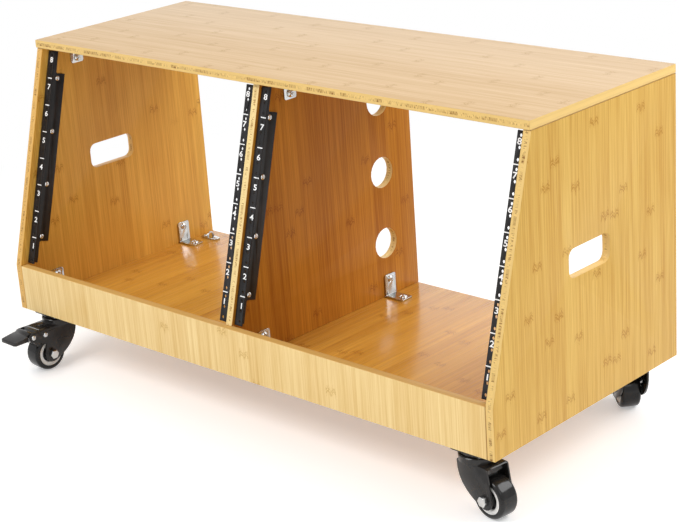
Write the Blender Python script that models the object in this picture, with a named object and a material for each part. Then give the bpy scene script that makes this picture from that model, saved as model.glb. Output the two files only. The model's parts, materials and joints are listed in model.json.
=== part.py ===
"""Slanted two-bay studio rack: a bamboo plywood cabinet with eight-unit rack rails,
corner brackets and four swivel casters, two of them with foot brakes.

Millimetres are turned into metres once, by MM. X runs along the width, the open front
faces -Y and +Z is up. Inside this file the cabinet is laid out from its own lower left
front corner; the last lines move the whole rack so that the origin lies on the floor
under the middle of its outline.
"""

import math

import bmesh
import bpy
from mathutils import Matrix, Vector

for leftover in list(bpy.data.objects):
    bpy.data.objects.remove(leftover, do_unlink=True)

MM = 0.001
GAP = 0.3 * MM                      # clearance between pieces that touch

# Cabinet.
BOARD = 13.0 * MM                   # bamboo plywood thickness
BOARD_EASE = 0.6 * MM               # eased edges of every board
RACK_UNIT = 44.45 * MM              # one rack unit
UNITS = 8
HOLE_SPAN = 465.1 * MM              # standard distance between the two hole columns
HOLE_INSET = 11.45 * MM             # hole column to the board that carries the rail
DEPTH = 433.0 * MM
KICK_HEIGHT = 77.0 * MM
SLANT = math.radians(15.9)          # front edge's lean back from the vertical
KINK_RADIUS = 26.0 * MM             # soft corner where the front edge starts to lean
RAIL_FOOT_GAP = 2.5 * MM            # rail's foot above the kick board
RAIL_HEAD_GAP = 6.4 * MM            # rail's head below the top board
RAIL_SETBACK = 12.4 * MM            # rail face behind the side boards' front edge
DIVIDER_LEAD = 3.5 * MM             # divider's front edge ahead of the rail face
TOP_OVERHANG = 3.0 * MM             # top board ahead of the side boards

HANDLE_LENGTH = 94.0 * MM
HANDLE_HEIGHT = 42.0 * MM
HANDLE_RADIUS = 12.0 * MM
HANDLE_MIDDLE_Y = 220.0 * MM
HANDLE_MIDDLE_Z = 222.0 * MM

CABLE_HOLE_RADIUS = 25.0 * MM
CABLE_HOLE_INSET = 73.5 * MM        # hole centres from the divider's back edge
CABLE_HOLE_LOWEST = 104.0 * MM
CABLE_HOLE_PITCH = 119.0 * MM
CABLE_HOLE_COUNT = 3

# Rack rails.
RAIL_SHEET = 2.0 * MM
RAIL_BEND = 3.0 * MM
RAIL_FLANGE = 17.3 * MM             # flange's reach from the board
RAIL_LEG = 20.0 * MM                # side leg at the rail's two ends
RAIL_LEAF = 38.0 * MM               # wider side leg that takes the screws
RAIL_LEAF_OVERRUN = 8.0 * MM        # leaf's length past its end screws
RAIL_LEAF_RADIUS = 3.0 * MM
RAIL_HOLE_RADIUS = 2.5 * MM
RAIL_HOLE_FIRST = 6.35 * MM         # first hole above each unit's lower line
RAIL_HOLE_STEP = 15.875 * MM
RAIL_SCREW_LINE = 22.6 * MM         # screw holes behind the rail's face
RAIL_SCREW_RADIUS = 2.3 * MM
RAIL_SCREW_COUNT = 4

# Corner brackets.
BRACKET_LEG = 38.0 * MM
BRACKET_WIDTH = 25.0 * MM
BRACKET_SHEET = 2.5 * MM
BRACKET_BEND = 3.5 * MM
BRACKET_CORNER = 3.0 * MM
BRACKET_HOLE = 29.0 * MM            # hole centres from the bracket's corner
BRACKET_HOLE_RADIUS = 3.2 * MM
BRACKET_FRONT_INSET = 71.0 * MM     # lower front brackets from the kick board's face
BRACKET_REAR_INSET = 72.0 * MM      # rear brackets from the back edge
BRACKET_TOP_INSET = 67.0 * MM       # upper front brackets from the slanted edge

# Lashing eye.
EYE_BASE_LENGTH = 40.0 * MM
EYE_BASE_WIDTH = 16.0 * MM
EYE_BASE_SHEET = 2.0 * MM
EYE_RING_RADIUS = 6.5 * MM
EYE_BAR_RADIUS = 2.0 * MM
EYE_SCREW_INSET = 6.0 * MM
EYE_SCREW_RADIUS = 1.9 * MM
EYE_FROM_SIDE = 29.0 * MM           # eye's middle from the left side board
EYE_FROM_BACK = 33.0 * MM           # eye's middle from the back edge

# Casters.
CASTER_FROM_SIDE = 55.0 * MM        # swivel axis from the cabinet's side
CASTER_FROM_FRONT = 30.8 * MM       # front swivel axes from the kick board's face
CASTER_FROM_BACK = 36.0 * MM        # rear swivel axes from the back edge
CASTER_TRAIL = 32.4 * MM            # axle behind the swivel axis
AXLE_DROP = 66.3 * MM               # axle below the cabinet
WHEEL_RADIUS = 30.0 * MM
WHEEL_WIDTH = 30.6 * MM
TYRE_SHOULDER = 3.0 * MM
RIM_RADIUS = 22.5 * MM
RIM_INNER_RADIUS = 13.5 * MM
RIM_INSET = 1.2 * MM                # rim's face in from the tyre's side
WEB_WIDTH = 13.0 * MM
HUB_RADIUS = 9.0 * MM
AXLE_RADIUS = 4.0 * MM
HEX_FLATS = 14.0 * MM
HEX_THICKNESS = 6.7 * MM
TURN_STEPS = 20
HALF_FACET = math.pi / TURN_STEPS     # a flat of the tread meets the floor

PLATE_SIZE = 56.0 * MM
PLATE_SHEET = 3.0 * MM
PLATE_CORNER = 6.0 * MM
PLATE_HOLE_SPAN = 44.0 * MM
PLATE_HOLE_RADIUS = 2.6 * MM
RACE_RADIUS = 24.0 * MM
RACE_HEIGHT = 6.5 * MM
CUP_RADIUS = 27.0 * MM              # pressed cup on top of the fork
CUP_HEIGHT = 8.5 * MM
CUP_HOLLOW_RADIUS = 14.0 * MM
CUP_EASE = 1.5 * MM
KINGPIN_RADIUS = 5.0 * MM
KINGPIN_HEAD_RADIUS = 9.0 * MM
KINGPIN_HEAD = 3.0 * MM

FORK_SHEET = 2.5 * MM
FORK_BEND = 4.5 * MM
FORK_INNER_WIDTH = 35.4 * MM
FORK_BACK = 20.5 * MM               # crown's reach behind the swivel axis
FORK_FRONT = 5.9 * MM               # side plate's top corner past the axle
FORK_EYE_RADIUS = 14.0 * MM         # rounded end around the axle
FORK_SHOULDER = 6.5 * MM            # straight back edge before the curve
FORK_BELLY_DROP = 62.0 * MM         # how low the back curve's pull point lies
FORK_CORNER = 3.0 * MM

BRIDGE_END = 49.0 * MM              # braked fork: top ends here, two arms go on
ARM_EYE_RADIUS = 9.0 * MM           # rounded arm end around the pedal's pin
ARM_LOWER_REACH = 59.0 * MM         # arm's lower edge, outer and inner end
ARM_LOWER_DROP = 38.5 * MM
ARM_INNER_REACH = 42.5 * MM
ARM_INNER_DROP = 46.0 * MM
BRAKE_PIN_REACH = 65.9 * MM         # pedal's pin from the swivel axis
BRAKE_PIN_DROP = 27.1 * MM
BRAKE_PIN_RADIUS = 2.5 * MM
RIVET_REACH = 42.2 * MM
RIVET_DROP = 29.2 * MM
RIVET_HEAD_RADIUS = 4.2 * MM
RIVET_HEAD = 1.8 * MM

PEDAL_WIDTH = 40.0 * MM
PEDAL_LENGTH = 38.0 * MM            # tread ahead of the pin
PEDAL_SHEET = 2.4 * MM
PEDAL_NECK_RISE = 9.2 * MM          # tops of the neck's two bands above the pin
PEDAL_GROOVE = 3.0 * MM             # depth of the groove between them
PEDAL_ROOT = 10.2 * MM              # where the wide tread starts, ahead of the pin
PEDAL_ROOT_RISE = 5.4 * MM          # tread's top there, above the pin
PEDAL_SLOPE = math.radians(8.0)
PEDAL_SKIRT = 3.4 * MM              # lower edge of the tread's sides below the pin
PEDAL_TIP_RADIUS = 2.6 * MM
PEDAL_CORNER = 2.5 * MM
PEDAL_HUB_RADIUS = 6.5 * MM
SHOE_HALF_ANGLE = math.radians(17.0)
SHOE_RELEASE = 2.0 * MM             # the shoe's eccentric lifts this far off the tyre

# How far each fork is turned about its swivel axis from "wheel in front".
FORK_TURN = {
    "front_left": math.radians(-2.0),
    "front_right": math.radians(81.5),
    "rear_left": math.radians(168.0),
    "rear_right": math.radians(-131.0),
}
BRAKED = ("front_left", "rear_right")

# Derived sizes.
BAY = HOLE_SPAN + 2 * HOLE_INSET
WIDTH = 3 * BOARD + 2 * BAY
RAIL_LENGTH = UNITS * RACK_UNIT
RAIL_FOOT = KICK_HEIGHT + RAIL_FOOT_GAP
TOP_UNDERSIDE = RAIL_FOOT + RAIL_LENGTH * math.cos(SLANT) + RAIL_HEAD_GAP
DIVIDER_LEFT = BOARD + BAY
DIVIDER_RIGHT = DIVIDER_LEFT + BOARD
RIGHT_BOARD = WIDTH - BOARD
RACE_BOTTOM = GAP + PLATE_SHEET + RACE_HEIGHT
CUP_TOP = RACE_BOTTOM + GAP
CUP_ROOF = CUP_TOP + FORK_SHEET
CROWN_TOP = CUP_TOP + CUP_HEIGHT
CROWN_BOTTOM = CROWN_TOP + FORK_SHEET
FORK_OUTER_HALF = FORK_INNER_WIDTH / 2 + FORK_SHEET


def edge_y(z):
    """Y of the side boards' slanted front edge at height z."""
    return max(0.0, (z - KICK_HEIGHT) * math.tan(SLANT))


def rail_face_y(z):
    """Y of the rack rails' front face at height z."""
    return (z - KICK_HEIGHT) * math.tan(SLANT) + RAIL_SETBACK / math.cos(SLANT)


def divider_edge_y(z):
    """Y of the divider's slanted front edge at height z."""
    return rail_face_y(z) - DIVIDER_LEAD / math.cos(SLANT)


# Materials.
def make_material(name, color, roughness, metallic):
    material = bpy.data.materials.new(name)
    material.use_nodes = True
    shader = material.node_tree.nodes["Principled BSDF"]
    shader.inputs["Base Color"].default_value = (*color, 1.0)
    shader.inputs["Roughness"].default_value = roughness
    shader.inputs["Metallic"].default_value = metallic
    material.diffuse_color = (*color, 1.0)
    return material


BAMBOO_TOP = ("bamboo_top", (0.72, 0.53, 0.36), 0.42, 0.0)
BAMBOO_SIDE = ("bamboo_side", (0.74, 0.49, 0.20), 0.48, 0.0)
BAMBOO_INNER = ("bamboo_inner", (0.56, 0.28, 0.09), 0.40, 0.0)
BAMBOO_KICK = ("bamboo_kick", (0.78, 0.58, 0.32), 0.48, 0.0)
BLACK_STEEL = ("black_steel", (0.025, 0.025, 0.027), 0.50, 0.2)
ZINC = ("zinc_steel", (0.72, 0.72, 0.70), 0.28, 1.0)
CASTER_BLACK = ("caster_black", (0.030, 0.028, 0.027), 0.42, 0.2)
RUBBER = ("tyre_rubber", (0.028, 0.027, 0.027), 0.55, 0.0)
RIM_GREY = ("rim_plastic", (0.72, 0.71, 0.69), 0.40, 0.0)


# Mesh helpers.
def finish_mesh(shape, name):
    """Turn a bmesh into a mesh with outward faces and crisp shading."""
    bmesh.ops.recalc_face_normals(shape, faces=shape.faces)
    mesh = bpy.data.meshes.new(name)
    shape.to_mesh(mesh)
    shape.free()
    shade(mesh)
    return mesh


def shade(mesh):
    mesh.shade_smooth()
    mesh.set_sharp_from_angle(angle=math.radians(32))


def prism(points, start, length, axis):
    """Extrude a closed outline along an axis.

    The outline's two numbers are the other two axes in X, Y, Z order.
    """
    shape = bmesh.new()
    corners = []
    for first, second in points:
        if axis == "X":
            corners.append(shape.verts.new((start, first, second)))
        elif axis == "Y":
            corners.append(shape.verts.new((first, start, second)))
        else:
            corners.append(shape.verts.new((first, second, start)))
    face = shape.faces.new(corners)
    grown = bmesh.ops.extrude_face_region(shape, geom=[face])["geom"]
    moved = [item for item in grown if isinstance(item, bmesh.types.BMVert)]
    step = {"X": (length, 0, 0), "Y": (0, length, 0), "Z": (0, 0, length)}[axis]
    bmesh.ops.translate(shape, verts=moved, vec=step)
    bmesh.ops.recalc_face_normals(shape, faces=shape.faces)
    return shape


def turned(profile, steps, axis, start=0.0):
    """Spin a profile of (radius, height) points about an axis into a closed solid."""
    shape = bmesh.new()
    across = math.cos(start)
    along = math.sin(start)
    corners = [shape.verts.new((radius * across, radius * along, height)) for radius, height in profile]
    edges = []
    on_axis = profile[0][0] == 0 and profile[-1][0] == 0
    for index, corner in enumerate(corners):
        if index + 1 < len(corners):
            edges.append(shape.edges.new((corner, corners[index + 1])))
    if not on_axis:
        edges.append(shape.edges.new((corners[-1], corners[0])))
    bmesh.ops.spin(
        shape,
        geom=corners + edges,
        cent=(0, 0, 0),
        axis=(0, 0, 1),
        angle=2 * math.pi,
        steps=steps,
        use_merge=True,
    )
    bmesh.ops.remove_doubles(shape, verts=shape.verts, dist=1e-6)
    if axis == "X":
        turn = Matrix.Rotation(math.radians(90), 4, "Y")
        bmesh.ops.transform(shape, matrix=turn, verts=shape.verts)
    bmesh.ops.recalc_face_normals(shape, faces=shape.faces)
    return shape


def regular_outline(radius, sides, middle=(0, 0), turn=0.0):
    return [
        (
            middle[0] + radius * math.cos(turn + 2 * math.pi * index / sides),
            middle[1] + radius * math.sin(turn + 2 * math.pi * index / sides),
        )
        for index in range(sides)
    ]


def rounded_outline(width, height, radius, middle, steps=4):
    """Corners of a rectangle with round corners, counter-clockwise."""
    points = []
    for corner in range(4):
        side_x = 1 if corner in (0, 3) else -1
        side_y = 1 if corner in (0, 1) else -1
        centre_x = middle[0] + side_x * (width / 2 - radius)
        centre_y = middle[1] + side_y * (height / 2 - radius)
        for step in range(steps + 1):
            angle = math.radians(90) * (corner + step / steps)
            points.append(
                (centre_x + radius * math.cos(angle), centre_y + radius * math.sin(angle))
            )
    return points


def fillet(previous, corner, following, radius, steps):
    """Points of a round corner between two straight edges."""
    corner = Vector(corner)
    toward_previous = (Vector(previous) - corner).normalized()
    toward_following = (Vector(following) - corner).normalized()
    half = toward_previous.angle(toward_following) / 2
    reach = radius / math.tan(half)
    bisector = (toward_previous + toward_following).normalized()
    centre = corner + bisector * (radius / math.sin(half))
    first = corner + toward_previous * reach - centre
    last = corner + toward_following * reach - centre
    points = []
    for step in range(steps + 1):
        share = step / steps
        spoke = first.lerp(last, share).normalized() * radius
        points.append(tuple(centre + spoke))
    return points


def bevel_edges(shape, chosen, width, steps):
    edges = [edge for edge in shape.edges if chosen(edge)]
    bmesh.ops.bevel(
        shape,
        geom=edges,
        offset=width,
        offset_type="OFFSET",
        segments=steps,
        profile=0.5,
        affect="EDGES",
        clamp_overlap=True,
    )


def is_sharp(edge):
    return len(edge.link_faces) == 2 and edge.calc_face_angle() > math.radians(40)


def combine(base_mesh, shape, operation, name):
    """Boolean a bmesh into a mesh with the exact solver, and keep the result."""
    base = bpy.data.objects.new(name, base_mesh)
    tool_mesh = finish_mesh(shape, name + "_tool")
    tool = bpy.data.objects.new(name + "_tool", tool_mesh)
    tool.hide_render = True
    tool.display_type = "WIRE"
    for item in (base, tool):
        bpy.context.scene.collection.objects.link(item)
    modifier = base.modifiers.new("combine", "BOOLEAN")
    modifier.operation = operation
    modifier.solver = "EXACT"
    modifier.object = tool
    bpy.context.view_layer.update()
    evaluated = base.evaluated_get(bpy.context.evaluated_depsgraph_get())
    result = bpy.data.meshes.new_from_object(evaluated)
    result.name = name
    for item in (base, tool):
        bpy.data.objects.remove(item, do_unlink=True)
    shade(result)
    return result


def gather(*shapes):
    """Put several separate cutters into one bmesh."""
    whole = bmesh.new()
    for shape in shapes:
        piece = bpy.data.meshes.new("piece")
        shape.to_mesh(piece)
        shape.free()
        whole.from_mesh(piece)
        bpy.data.meshes.remove(piece)
    return whole


def ease_mesh(mesh, width):
    """Break every sharp edge of a finished board by a small flat."""
    shape = bmesh.new()
    shape.from_mesh(mesh)
    bevel_edges(shape, is_sharp, width, 1)
    bmesh.ops.recalc_face_normals(shape, faces=shape.faces)
    shape.to_mesh(mesh)
    shape.free()
    shade(mesh)
    return mesh


# Scene helpers.


def place(name, mesh, look, parent, location=(0, 0, 0), rotation=(0, 0, 0)):
    """Add one named piece with its own material."""
    thing = bpy.data.objects.new(name, mesh)
    bpy.context.scene.collection.objects.link(thing)
    thing.parent = parent
    thing.location = location
    thing.rotation_euler = rotation
    if not mesh.materials:
        mesh.materials.append(None)
    thing.material_slots[0].link = "OBJECT"
    thing.material_slots[0].material = make_material(name, *look[1:])
    return thing


def empty(name, parent, location=(0, 0, 0), rotation=(0, 0, 0)):
    guide = bpy.data.objects.new(name, None)
    bpy.context.scene.collection.objects.link(guide)
    guide.parent = parent
    guide.location = location
    guide.rotation_euler = rotation
    return guide


ROOT = empty("rack", None)


# Boards.
def side_board_mesh(name):
    """Side board: upright foot, soft kink, slanted front edge, hand hold."""
    top = TOP_UNDERSIDE - GAP
    kink = (0.0, KICK_HEIGHT)
    upper_front = (edge_y(top), top)
    outline = [(0.0, 0.0), (DEPTH, 0.0), (DEPTH, top), upper_front]
    outline += fillet(upper_front, kink, (0.0, 0.0), KINK_RADIUS, 4)
    board = finish_mesh(prism(outline, 0, BOARD, "X"), name)
    hole = rounded_outline(
        HANDLE_LENGTH, HANDLE_HEIGHT, HANDLE_RADIUS, (HANDLE_MIDDLE_Y, HANDLE_MIDDLE_Z), 4
    )
    cutter = prism(hole, -BOARD, 3 * BOARD, "X")
    board = combine(board, cutter, "DIFFERENCE", name)
    return ease_mesh(board, BOARD_EASE)


def divider_board_mesh(name):
    """Divider: notched over the kick board, with cable holes near its back edge."""
    top = TOP_UNDERSIDE - GAP
    foot = BOARD + GAP
    behind_kick = BOARD + GAP
    above_kick = KICK_HEIGHT + GAP
    outline = [
        (behind_kick, foot),
        (DEPTH, foot),
        (DEPTH, top),
        (divider_edge_y(top), top),
        (divider_edge_y(above_kick), above_kick),
        (behind_kick, above_kick),
    ]
    board = finish_mesh(prism(outline, 0, BOARD, "X"), name)
    cutters = []
    for index in range(CABLE_HOLE_COUNT):
        middle = (DEPTH - CABLE_HOLE_INSET, CABLE_HOLE_LOWEST + index * CABLE_HOLE_PITCH)
        circle = regular_outline(CABLE_HOLE_RADIUS, 22, middle)
        cutters.append(prism(circle, -BOARD, 3 * BOARD, "X"))
    board = combine(board, gather(*cutters), "DIFFERENCE", name)
    return ease_mesh(board, BOARD_EASE)


def plain_board_mesh(name, size_x, size_y, size_z):
    outline = [(0, 0), (size_x, 0), (size_x, size_y), (0, size_y)]
    return ease_mesh(finish_mesh(prism(outline, 0, size_z, "Z"), name), BOARD_EASE)


def build_cabinet():
    side = side_board_mesh("side_board")
    place("side_board_left", side, BAMBOO_SIDE, ROOT)
    place("side_board_right", side, BAMBOO_SIDE, ROOT, (RIGHT_BOARD, 0, 0))
    divider = divider_board_mesh("divider_board")
    place("divider_board", divider, BAMBOO_INNER, ROOT, (DIVIDER_LEFT, 0, 0))

    between = WIDTH - 2 * (BOARD + GAP)
    inner_x = BOARD + GAP
    floor = plain_board_mesh("bottom_board", between, DEPTH - BOARD - GAP, BOARD)
    place("bottom_board", floor, BAMBOO_INNER, ROOT, (inner_x, BOARD + GAP, 0))
    kick = plain_board_mesh("kick_board", between, BOARD, KICK_HEIGHT)
    place("kick_board", kick, BAMBOO_KICK, ROOT, (inner_x, 0, 0))
    front = edge_y(TOP_UNDERSIDE) - TOP_OVERHANG
    top = plain_board_mesh("top_board", WIDTH, DEPTH - front, BOARD)
    place("top_board", top, BAMBOO_TOP, ROOT, (0, front, TOP_UNDERSIDE))


# Rack rails.
def rail_mesh(name, side):
    """Punched rail of bent sheet. Local Z is along the rail, local Y behind its face.

    side is +1 for a rail on a board's right face and -1 for one on its left face.
    """
    sheet = RAIL_SHEET
    inner_bend = RAIL_BEND - sheet
    points = [(RAIL_FLANGE, 0)]
    for step in range(4):
        angle = math.radians(90 + 30 * step)
        points.append(
            (
                GAP + RAIL_BEND + RAIL_BEND * math.cos(angle),
                RAIL_BEND - RAIL_BEND * math.sin(angle),
            )
        )
    points.append((GAP, RAIL_LEAF))
    points.append((GAP + sheet, RAIL_LEAF))
    for step in range(4):
        angle = math.radians(180 - 30 * step)
        points.append(
            (
                GAP + RAIL_BEND + inner_bend * math.cos(angle),
                RAIL_BEND - inner_bend * math.sin(angle),
            )
        )
    points.append((RAIL_FLANGE, sheet))
    points = [(side * x, y) for x, y in points]
    rail = finish_mesh(prism(points, 0, RAIL_LENGTH, "Z"), name)

    leaf_start = RACK_UNIT - RAIL_LEAF_OVERRUN
    cutters = []
    for low, high, inner_end in (
        (-RACK_UNIT, leaf_start, leaf_start),
        (RAIL_LENGTH - leaf_start, RAIL_LENGTH + RACK_UNIT, RAIL_LENGTH - leaf_start),
    ):
        corner = (RAIL_LEG, inner_end)
        beyond = RAIL_LEAF + 10 * MM
        outer_end = low if inner_end == high else high
        outline = [(beyond, inner_end), (beyond, outer_end), (RAIL_LEG, outer_end)]
        outline += fillet(
            (RAIL_LEG, outer_end), corner, (beyond, inner_end), RAIL_LEAF_RADIUS, 3
        )
        reach = side * 4 * RAIL_SHEET
        cutters.append(prism(outline, -reach, 2 * reach, "X"))
    for unit in range(UNITS):
        for hole in range(3):
            height = unit * RACK_UNIT + RAIL_HOLE_FIRST + hole * RAIL_HOLE_STEP
            circle = regular_outline(RAIL_HOLE_RADIUS, 6, (side * HOLE_INSET, height))
            cutters.append(prism(circle, -sheet, 3 * sheet, "Y"))
    first_screw = RACK_UNIT
    screw_step = (RAIL_LENGTH - 2 * RACK_UNIT) / (RAIL_SCREW_COUNT - 1)
    for screw in range(RAIL_SCREW_COUNT):
        height = first_screw + screw * screw_step
        circle = regular_outline(RAIL_SCREW_RADIUS, 6, (RAIL_SCREW_LINE, height))
        cutters.append(prism(circle, -4 * sheet, 8 * sheet, "X"))
    return combine(rail, gather(*cutters), "DIFFERENCE", name)


def build_rails():
    right_face = rail_mesh("rail_on_right_face", 1)
    left_face = rail_mesh("rail_on_left_face", -1)
    rows = (
        ("rail_left_bay_left", right_face, BOARD),
        ("rail_left_bay_right", left_face, DIVIDER_LEFT),
        ("rail_right_bay_left", right_face, DIVIDER_RIGHT),
        ("rail_right_bay_right", left_face, RIGHT_BOARD),
    )
    for name, mesh, board_face in rows:
        foot = (board_face, rail_face_y(RAIL_FOOT), RAIL_FOOT)
        place(name, mesh, BLACK_STEEL, ROOT, foot, (-SLANT, 0, 0))


# Brackets.
def bracket_mesh(name):
    """Bent corner bracket. Its legs run along +X and +Z from the corner."""
    inner_bend = BRACKET_BEND - BRACKET_SHEET
    points = [(BRACKET_LEG, GAP)]
    for step in range(4):
        angle = math.radians(270 - 30 * step)
        points.append(
            (
                GAP + BRACKET_BEND + BRACKET_BEND * math.cos(angle),
                GAP + BRACKET_BEND + BRACKET_BEND * math.sin(angle),
            )
        )
    points.append((GAP, BRACKET_LEG))
    points.append((GAP + BRACKET_SHEET, BRACKET_LEG))
    for step in range(3):
        angle = math.radians(180 + 45 * step)
        points.append(
            (
                GAP + BRACKET_BEND + inner_bend * math.cos(angle),
                GAP + BRACKET_BEND + inner_bend * math.sin(angle),
            )
        )
    points.append((BRACKET_LEG, GAP + BRACKET_SHEET))
    shape = prism(points, -BRACKET_WIDTH / 2, BRACKET_WIDTH, "Y")

    def at_leg_end(edge):
        first, second = (vertex.co for vertex in edge.verts)
        along_x = min(first.x, second.x) > BRACKET_LEG - 0.01 * MM
        along_z = min(first.z, second.z) > BRACKET_LEG - 0.01 * MM
        across = abs(first.y - second.y) < 0.01 * MM
        return across and (along_x or along_z)

    bevel_edges(shape, at_leg_end, BRACKET_CORNER, 2)
    mesh = finish_mesh(shape, name)
    far = 2 * BRACKET_SHEET
    hole = regular_outline(BRACKET_HOLE_RADIUS, 6, (BRACKET_HOLE, 0))
    floor_hole = prism(hole, -far, 3 * far, "Z")
    hole = regular_outline(BRACKET_HOLE_RADIUS, 6, (0, BRACKET_HOLE))
    wall_hole = prism(hole, -far, 3 * far, "X")
    return combine(mesh, gather(floor_hole, wall_hole), "DIFFERENCE", name)


def build_brackets():
    bracket = bracket_mesh("bracket")
    low = BOARD
    high = TOP_UNDERSIDE
    rear = DEPTH - BRACKET_REAR_INSET
    rows = (
        ("low_front", BRACKET_FRONT_INSET, low),
        ("low_rear", rear, low),
        ("high_front", edge_y(TOP_UNDERSIDE) + BRACKET_TOP_INSET, high),
        ("high_rear", rear, high),
    )
    for board, face, opens in (
        ("left", BOARD, 1),
        ("divider", DIVIDER_RIGHT, 1),
        ("right", RIGHT_BOARD, -1),
    ):
        for corner, y, z in rows:
            quarter = 0 if z == low else 1
            turn = quarter if opens > 0 else -1 - quarter
            place(
                "bracket_" + board + "_" + corner,
                bracket,
                ZINC,
                ROOT,
                (face, y, z),
                (0, math.radians(90) * turn, 0),
            )


# Lashing eye.
def eye_mesh(name):
    """Oval base with a small fixed ring standing across it."""
    base = rounded_outline(
        EYE_BASE_LENGTH, EYE_BASE_WIDTH, 0.47 * EYE_BASE_WIDTH, (0, 0), 4
    )
    mesh = finish_mesh(prism(base, GAP, EYE_BASE_SHEET, "Z"), name)
    ring = bmesh.new()
    section = []
    for x, y in regular_outline(EYE_BAR_RADIUS, 6, (EYE_RING_RADIUS, 0)):
        section.append(ring.verts.new((y, x, 0)))
    face = ring.faces.new(section)
    bmesh.ops.spin(
        ring,
        geom=[face],
        cent=(0, 0, 0),
        axis=(1, 0, 0),
        angle=math.radians(180),
        steps=8,
    )
    bmesh.ops.recalc_face_normals(ring, faces=ring.faces)
    seat = GAP + EYE_BASE_SHEET - 0.7 * MM
    bmesh.ops.translate(ring, verts=ring.verts, vec=(0, 0, seat + 2.5 * MM))
    legs = []
    for side in (-1, 1):
        circle = regular_outline(EYE_BAR_RADIUS, 6, (0, side * EYE_RING_RADIUS))
        legs.append(prism(circle, seat, 3.2 * MM, "Z"))
    mesh = combine(mesh, gather(*legs), "UNION", name)
    mesh = combine(mesh, ring, "UNION", name)
    holes = []
    for side in (-1, 1):
        middle = (side * (EYE_BASE_LENGTH / 2 - EYE_SCREW_INSET), 0)
        circle = regular_outline(EYE_SCREW_RADIUS, 6, middle)
        holes.append(prism(circle, -EYE_BASE_SHEET, 4 * EYE_BASE_SHEET, "Z"))
    return combine(mesh, gather(*holes), "DIFFERENCE", name)


def build_eye():
    spot = (BOARD + EYE_FROM_SIDE, DEPTH - EYE_FROM_BACK, BOARD)
    place("lashing_eye", eye_mesh("lashing_eye"), ZINC, ROOT, spot)


# Casters.
# In a caster's own frame the swivel axis is Z, the cabinet's underside is z = 0 and
# the wheel stands in front, towards -Y. Profiles are written as (reach, drop): reach
# from the swivel axis towards the wheel, drop below the cabinet.
def side_points(profile):
    return [(-reach, -drop) for reach, drop in profile]


def mount_mesh(name):
    """Top plate with its pressed bearing race and four bolt holes."""
    plate = rounded_outline(PLATE_SIZE, PLATE_SIZE, PLATE_CORNER, (0, 0), 2)
    mesh = finish_mesh(prism(plate, -GAP - PLATE_SHEET, PLATE_SHEET, "Z"), name)
    inside = GAP + PLATE_SHEET / 2
    race = turned(
        [
            (0, -inside),
            (RACE_RADIUS, -inside),
            (RACE_RADIUS, -RACE_BOTTOM + CUP_EASE),
            (RACE_RADIUS - CUP_EASE, -RACE_BOTTOM),
            (0, -RACE_BOTTOM),
        ],
        16,
        "Z",
    )
    mesh = combine(mesh, race, "UNION", name)
    cutters = []
    half = PLATE_HOLE_SPAN / 2
    for side_x in (-1, 1):
        for side_y in (-1, 1):
            hole = regular_outline(PLATE_HOLE_RADIUS, 6, (side_x * half, side_y * half))
            cutters.append(prism(hole, -3 * PLATE_SHEET, 6 * PLATE_SHEET, "Z"))
    bore = regular_outline(KINGPIN_RADIUS + GAP, 10)
    cutters.append(prism(bore, -2 * RACE_BOTTOM, 4 * RACE_BOTTOM, "Z"))
    return combine(mesh, gather(*cutters), "DIFFERENCE", name)


def kingpin_mesh(name):
    """Swivel pin: a shank through race and cup with a broad head inside the cup."""
    head_top = CUP_ROOF + GAP
    profile = [
        (0, -GAP),
        (KINGPIN_RADIUS, -GAP),
        (KINGPIN_RADIUS, -head_top),
        (KINGPIN_HEAD_RADIUS, -head_top),
        (0.8 * KINGPIN_HEAD_RADIUS, -head_top - KINGPIN_HEAD),
        (0, -head_top - KINGPIN_HEAD),
    ]
    return finish_mesh(turned(profile, 10, "Z"), name)


def tangent_angle(corner, side):
    """Where a straight edge from a corner touches the round end at the axle."""
    away_reach = corner[0] - CASTER_TRAIL
    away_drop = corner[1] - AXLE_DROP
    spread = math.acos(FORK_EYE_RADIUS / math.hypot(away_reach, away_drop))
    return math.atan2(away_drop, away_reach) + side * spread


def fork_pull_point():
    """The back curve leaves the crown and arrives at the axle's end aiming here."""
    return (-FORK_BACK + MM, FORK_BELLY_DROP)


def fork_back_curve():
    """Curve (1-t)^2 a + 2t(1-t) b + t^2 c from the crown's back to the round end."""
    start = (-FORK_BACK, CROWN_TOP + FORK_SHOULDER)
    pull = fork_pull_point()
    touch = tangent_angle(pull, -1)
    end = (
        CASTER_TRAIL + FORK_EYE_RADIUS * math.cos(touch),
        AXLE_DROP + FORK_EYE_RADIUS * math.sin(touch),
    )
    points = []
    for step in range(7):
        t = step / 7
        points.append(
            tuple(
                (1 - t) ** 2 * a + 2 * t * (1 - t) * b + t ** 2 * c
                for a, b, c in zip(start, pull, end)
            )
        )
    return points


def fork_eye_curve(corner):
    """Round end of the side plate, from its front edge round below the axle."""
    first = tangent_angle(corner, 1)
    last = tangent_angle(fork_pull_point(), -1) + 2 * math.pi
    points = []
    for step in range(8):
        angle = first + (last - first) * step / 7
        points.append(
            (
                CASTER_TRAIL + FORK_EYE_RADIUS * math.cos(angle),
                AXLE_DROP + FORK_EYE_RADIUS * math.sin(angle),
            )
        )
    return points


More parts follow.
